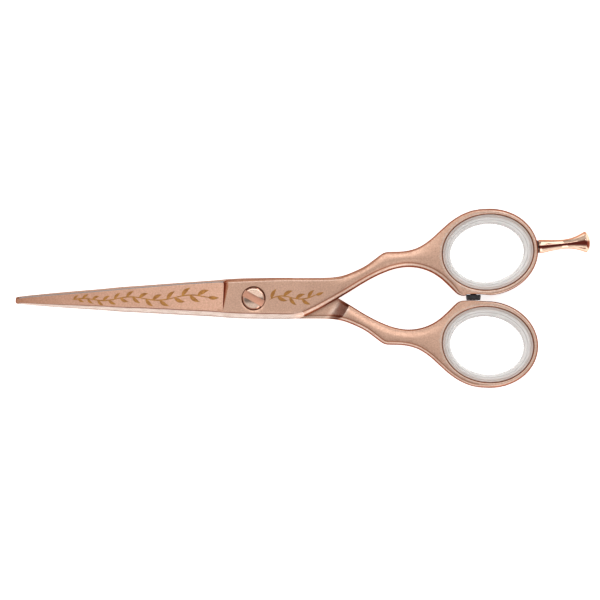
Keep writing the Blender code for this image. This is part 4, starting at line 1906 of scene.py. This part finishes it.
@dataclass(frozen=True)
class Softbox:
    """A rectangular soft light that faces the shears.

    Attributes:
        name: The light's name.
        place: Where it stands, in metres.
        size: Its length and width, in metres.
        power: Its power in watts.
        aim_x: X that it faces, in metres.
    """

    name: str
    place: tuple[float, float, float]
    size: Point
    power: float
    aim_x: float = 0.012417

    def add(self) -> None:
        """Adds the light to the scene."""
        data = bpy.data.lights.new(self.name, "AREA")
        data.shape, data.energy = "RECTANGLE", self.power
        data.size, data.size_y = self.size
        lamp = bpy.data.objects.new(self.name, data)
        lamp.location = self.place
        aim = Vector((self.aim_x, 0, 0)) - lamp.location
        lamp.rotation_euler = aim.to_track_quat("-Z", "Y").to_euler()
        bpy.context.scene.collection.objects.link(lamp)


@dataclass(frozen=True)
class Studio:
    """Pale floor, soft light and a camera that looks straight down.

    Attributes:
        middle: Where the camera looks, in millimetres.
        across: Width of the view in millimetres.
        distance: From the shears to the camera, in metres.
        sensor: Width of the camera's sensor in millimetres.
        floor_z: Height of the floor, in metres.
        bands: Pairs of a direction's Y, from -1 in front to 1 behind, and the light that comes from there.
        ends: Light from along X.
        lamps: The soft lights.
    """

    middle: Point = (12.417, -0.454)
    across: float = 160.2
    distance: float = 1.4
    sensor: float = 36.0
    floor_z: float = -0.0002
    bands: tuple[Point, ...] = (
        (-1.0, 0.7), (-0.85, 0.82), (-0.65, 0.6), (-0.45, 0.85), (-0.25, 0.78), (-0.13, 0.24), (0.0, 0.24),
        (0.09, 1.05), (0.3, 1.05), (0.5, 0.42), (0.7, 0.42), (0.85, 0.9), (0.93, 0.4), (1.0, 0.15),
    )  # fmt: skip
    ends: Colour = (0.72, 0.7, 0.68)
    lamps: tuple[Softbox, ...] = (
        Softbox("low_strip_light", (0.0, -1.0, 0.36), (1.8, 0.34), 1.1),
        Softbox("high_strip_light", (0.05, 0.47, 0.97), (1.6, 0.11), 1.6),
        Softbox("rear_card_light", (0.11, 0.25, 0.17), (0.07, 0.3), 0.09, 0.085),
        Softbox("front_card_light", (0.11, -0.25, 0.17), (0.07, 0.3), 0.09, 0.085),
    )

    def add(self) -> None:
        """Builds the studio."""
        self.floor()
        self.sky()
        for lamp in self.lamps:
            lamp.add()
        self.camera()

    def floor(self) -> None:
        """Lays the floor just under the shears."""
        bm = bmesh.new()
        bmesh.ops.create_grid(bm, x_segments=2, y_segments=2, size=3.0)
        mesh = bpy.data.meshes.new("studio_floor")
        bm.to_mesh(mesh)
        bm.free()
        floor = bpy.data.objects.new("studio_floor", mesh)
        floor.location.z = self.floor_z
        g = Graph("pale_floor")
        g.set(Roughness=0.85, Specular_IOR_Level=0.1, Emission_Color=(1, 1, 1, 1), Emission_Strength=0.78)
        paper = g.mixed(g.grain(40, detail=3), (0.93, 0.93, 0.93), (0.9, 0.9, 0.905))
        g.link(paper, g.shader.inputs["Base Color"])
        mesh.materials.append(g.material)
        bpy.context.scene.collection.objects.link(floor)

    def sky(self) -> None:
        """Lights the scene all round, brighter in front and darker behind."""
        world = bpy.data.worlds.new("studio")
        world.use_nodes = True
        tree = world.node_tree
        place = tree.nodes.new("ShaderNodeTexCoord")
        parts = tree.nodes.new("ShaderNodeSeparateXYZ")
        ramp = tree.nodes.new("ShaderNodeValToRGB")
        shift = tree.nodes.new("ShaderNodeMapRange")
        shift.inputs["From Min"].default_value = -1.0
        tree.links.new(place.outputs["Generated"], parts.inputs["Vector"])
        tree.links.new(parts.outputs["Y"], shift.inputs["Value"])
        tree.links.new(shift.outputs["Result"], ramp.inputs["Fac"])
        for _ in self.bands[2:]:
            ramp.color_ramp.elements.new(0.5)
        for element, (at, value) in zip(ramp.color_ramp.elements, self.bands):
            element.position = (at + 1) / 2
            element.color = (value, value * 0.99, value * 0.98, 1)
        aside = tree.nodes.new("ShaderNodeMath")
        aside.operation = "ABSOLUTE"
        share = tree.nodes.new("ShaderNodeMapRange")
        share.interpolation_type = "SMOOTHSTEP"
        share.inputs["From Min"].default_value, share.inputs["From Max"].default_value = 0.3, 0.75
        blend = tree.nodes.new("ShaderNodeMix")
        blend.data_type = "RGBA"
        blend.inputs[7].default_value = (*self.ends, 1.0)
        tree.links.new(parts.outputs["X"], aside.inputs[0])
        tree.links.new(aside.outputs[0], share.inputs["Value"])
        tree.links.new(share.outputs["Result"], blend.inputs[0])
        tree.links.new(ramp.outputs["Color"], blend.inputs[6])
        tree.links.new(blend.outputs[2], tree.nodes["Background"].inputs["Color"])
        bpy.context.scene.world = world

    def camera(self) -> None:
        """Adds the camera."""
        data = bpy.data.cameras.new("camera")
        data.sensor_width = self.sensor
        data.lens = self.sensor * self.distance / (self.across * MM)
        camera = bpy.data.objects.new("camera", data)
        x, y = (at * MM for at in self.middle)
        camera.location = (x, y, self.distance + 2 * PARTING_Z * MM)
        bpy.context.scene.collection.objects.link(camera)
        bpy.context.scene.camera = camera
        bpy.context.scene.view_settings.view_transform = "Standard"


VINES = (
    VineEtching(
        name="blade_vine",
        start=-48.5,
        end=-12.2,
        waves=2.5,
        count=21,
        growth=0.32,
        middle=(-0.4, -0.1, 0.3),
        swing=(0.25, 0.7),
        leaf=(1.7, 3.5),
    ),
    VineEtching(
        name="joint_vine",
        start=4.2,
        end=16.6,
        waves=1.0,
        count=7,
        growth=0.0,
        middle=(-0.3, 0.1, 0.9),
        swing=(0.75, 0.6),
        leaf=(3.0, 2.7),
    ),
)


def main() -> None:
    """Builds the shears and the studio."""
    logging.basicConfig(level=logging.INFO, format="%(name)s: %(message)s")
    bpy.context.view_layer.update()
    palette = Palette()
    finger = ForgedHalf(Side.FINGER)
    thumb = ForgedHalf(Side.THUMB, lean=0.0187)
    finger.add(palette)
    thumb.add(palette)
    TensionScrew().add(palette)
    Washers().add(palette)
    RingInsert(Side.FINGER, (-0.25, -0.22)).add(palette)
    RingInsert(Side.THUMB, (-0.25, 0.25)).add(palette)
    Bumper().add(palette)
    FingerRest().add(palette)
    for vine in VINES:
        vine.add(palette, finger)
    Studio().add()


if __name__ == "__main__":
    main()
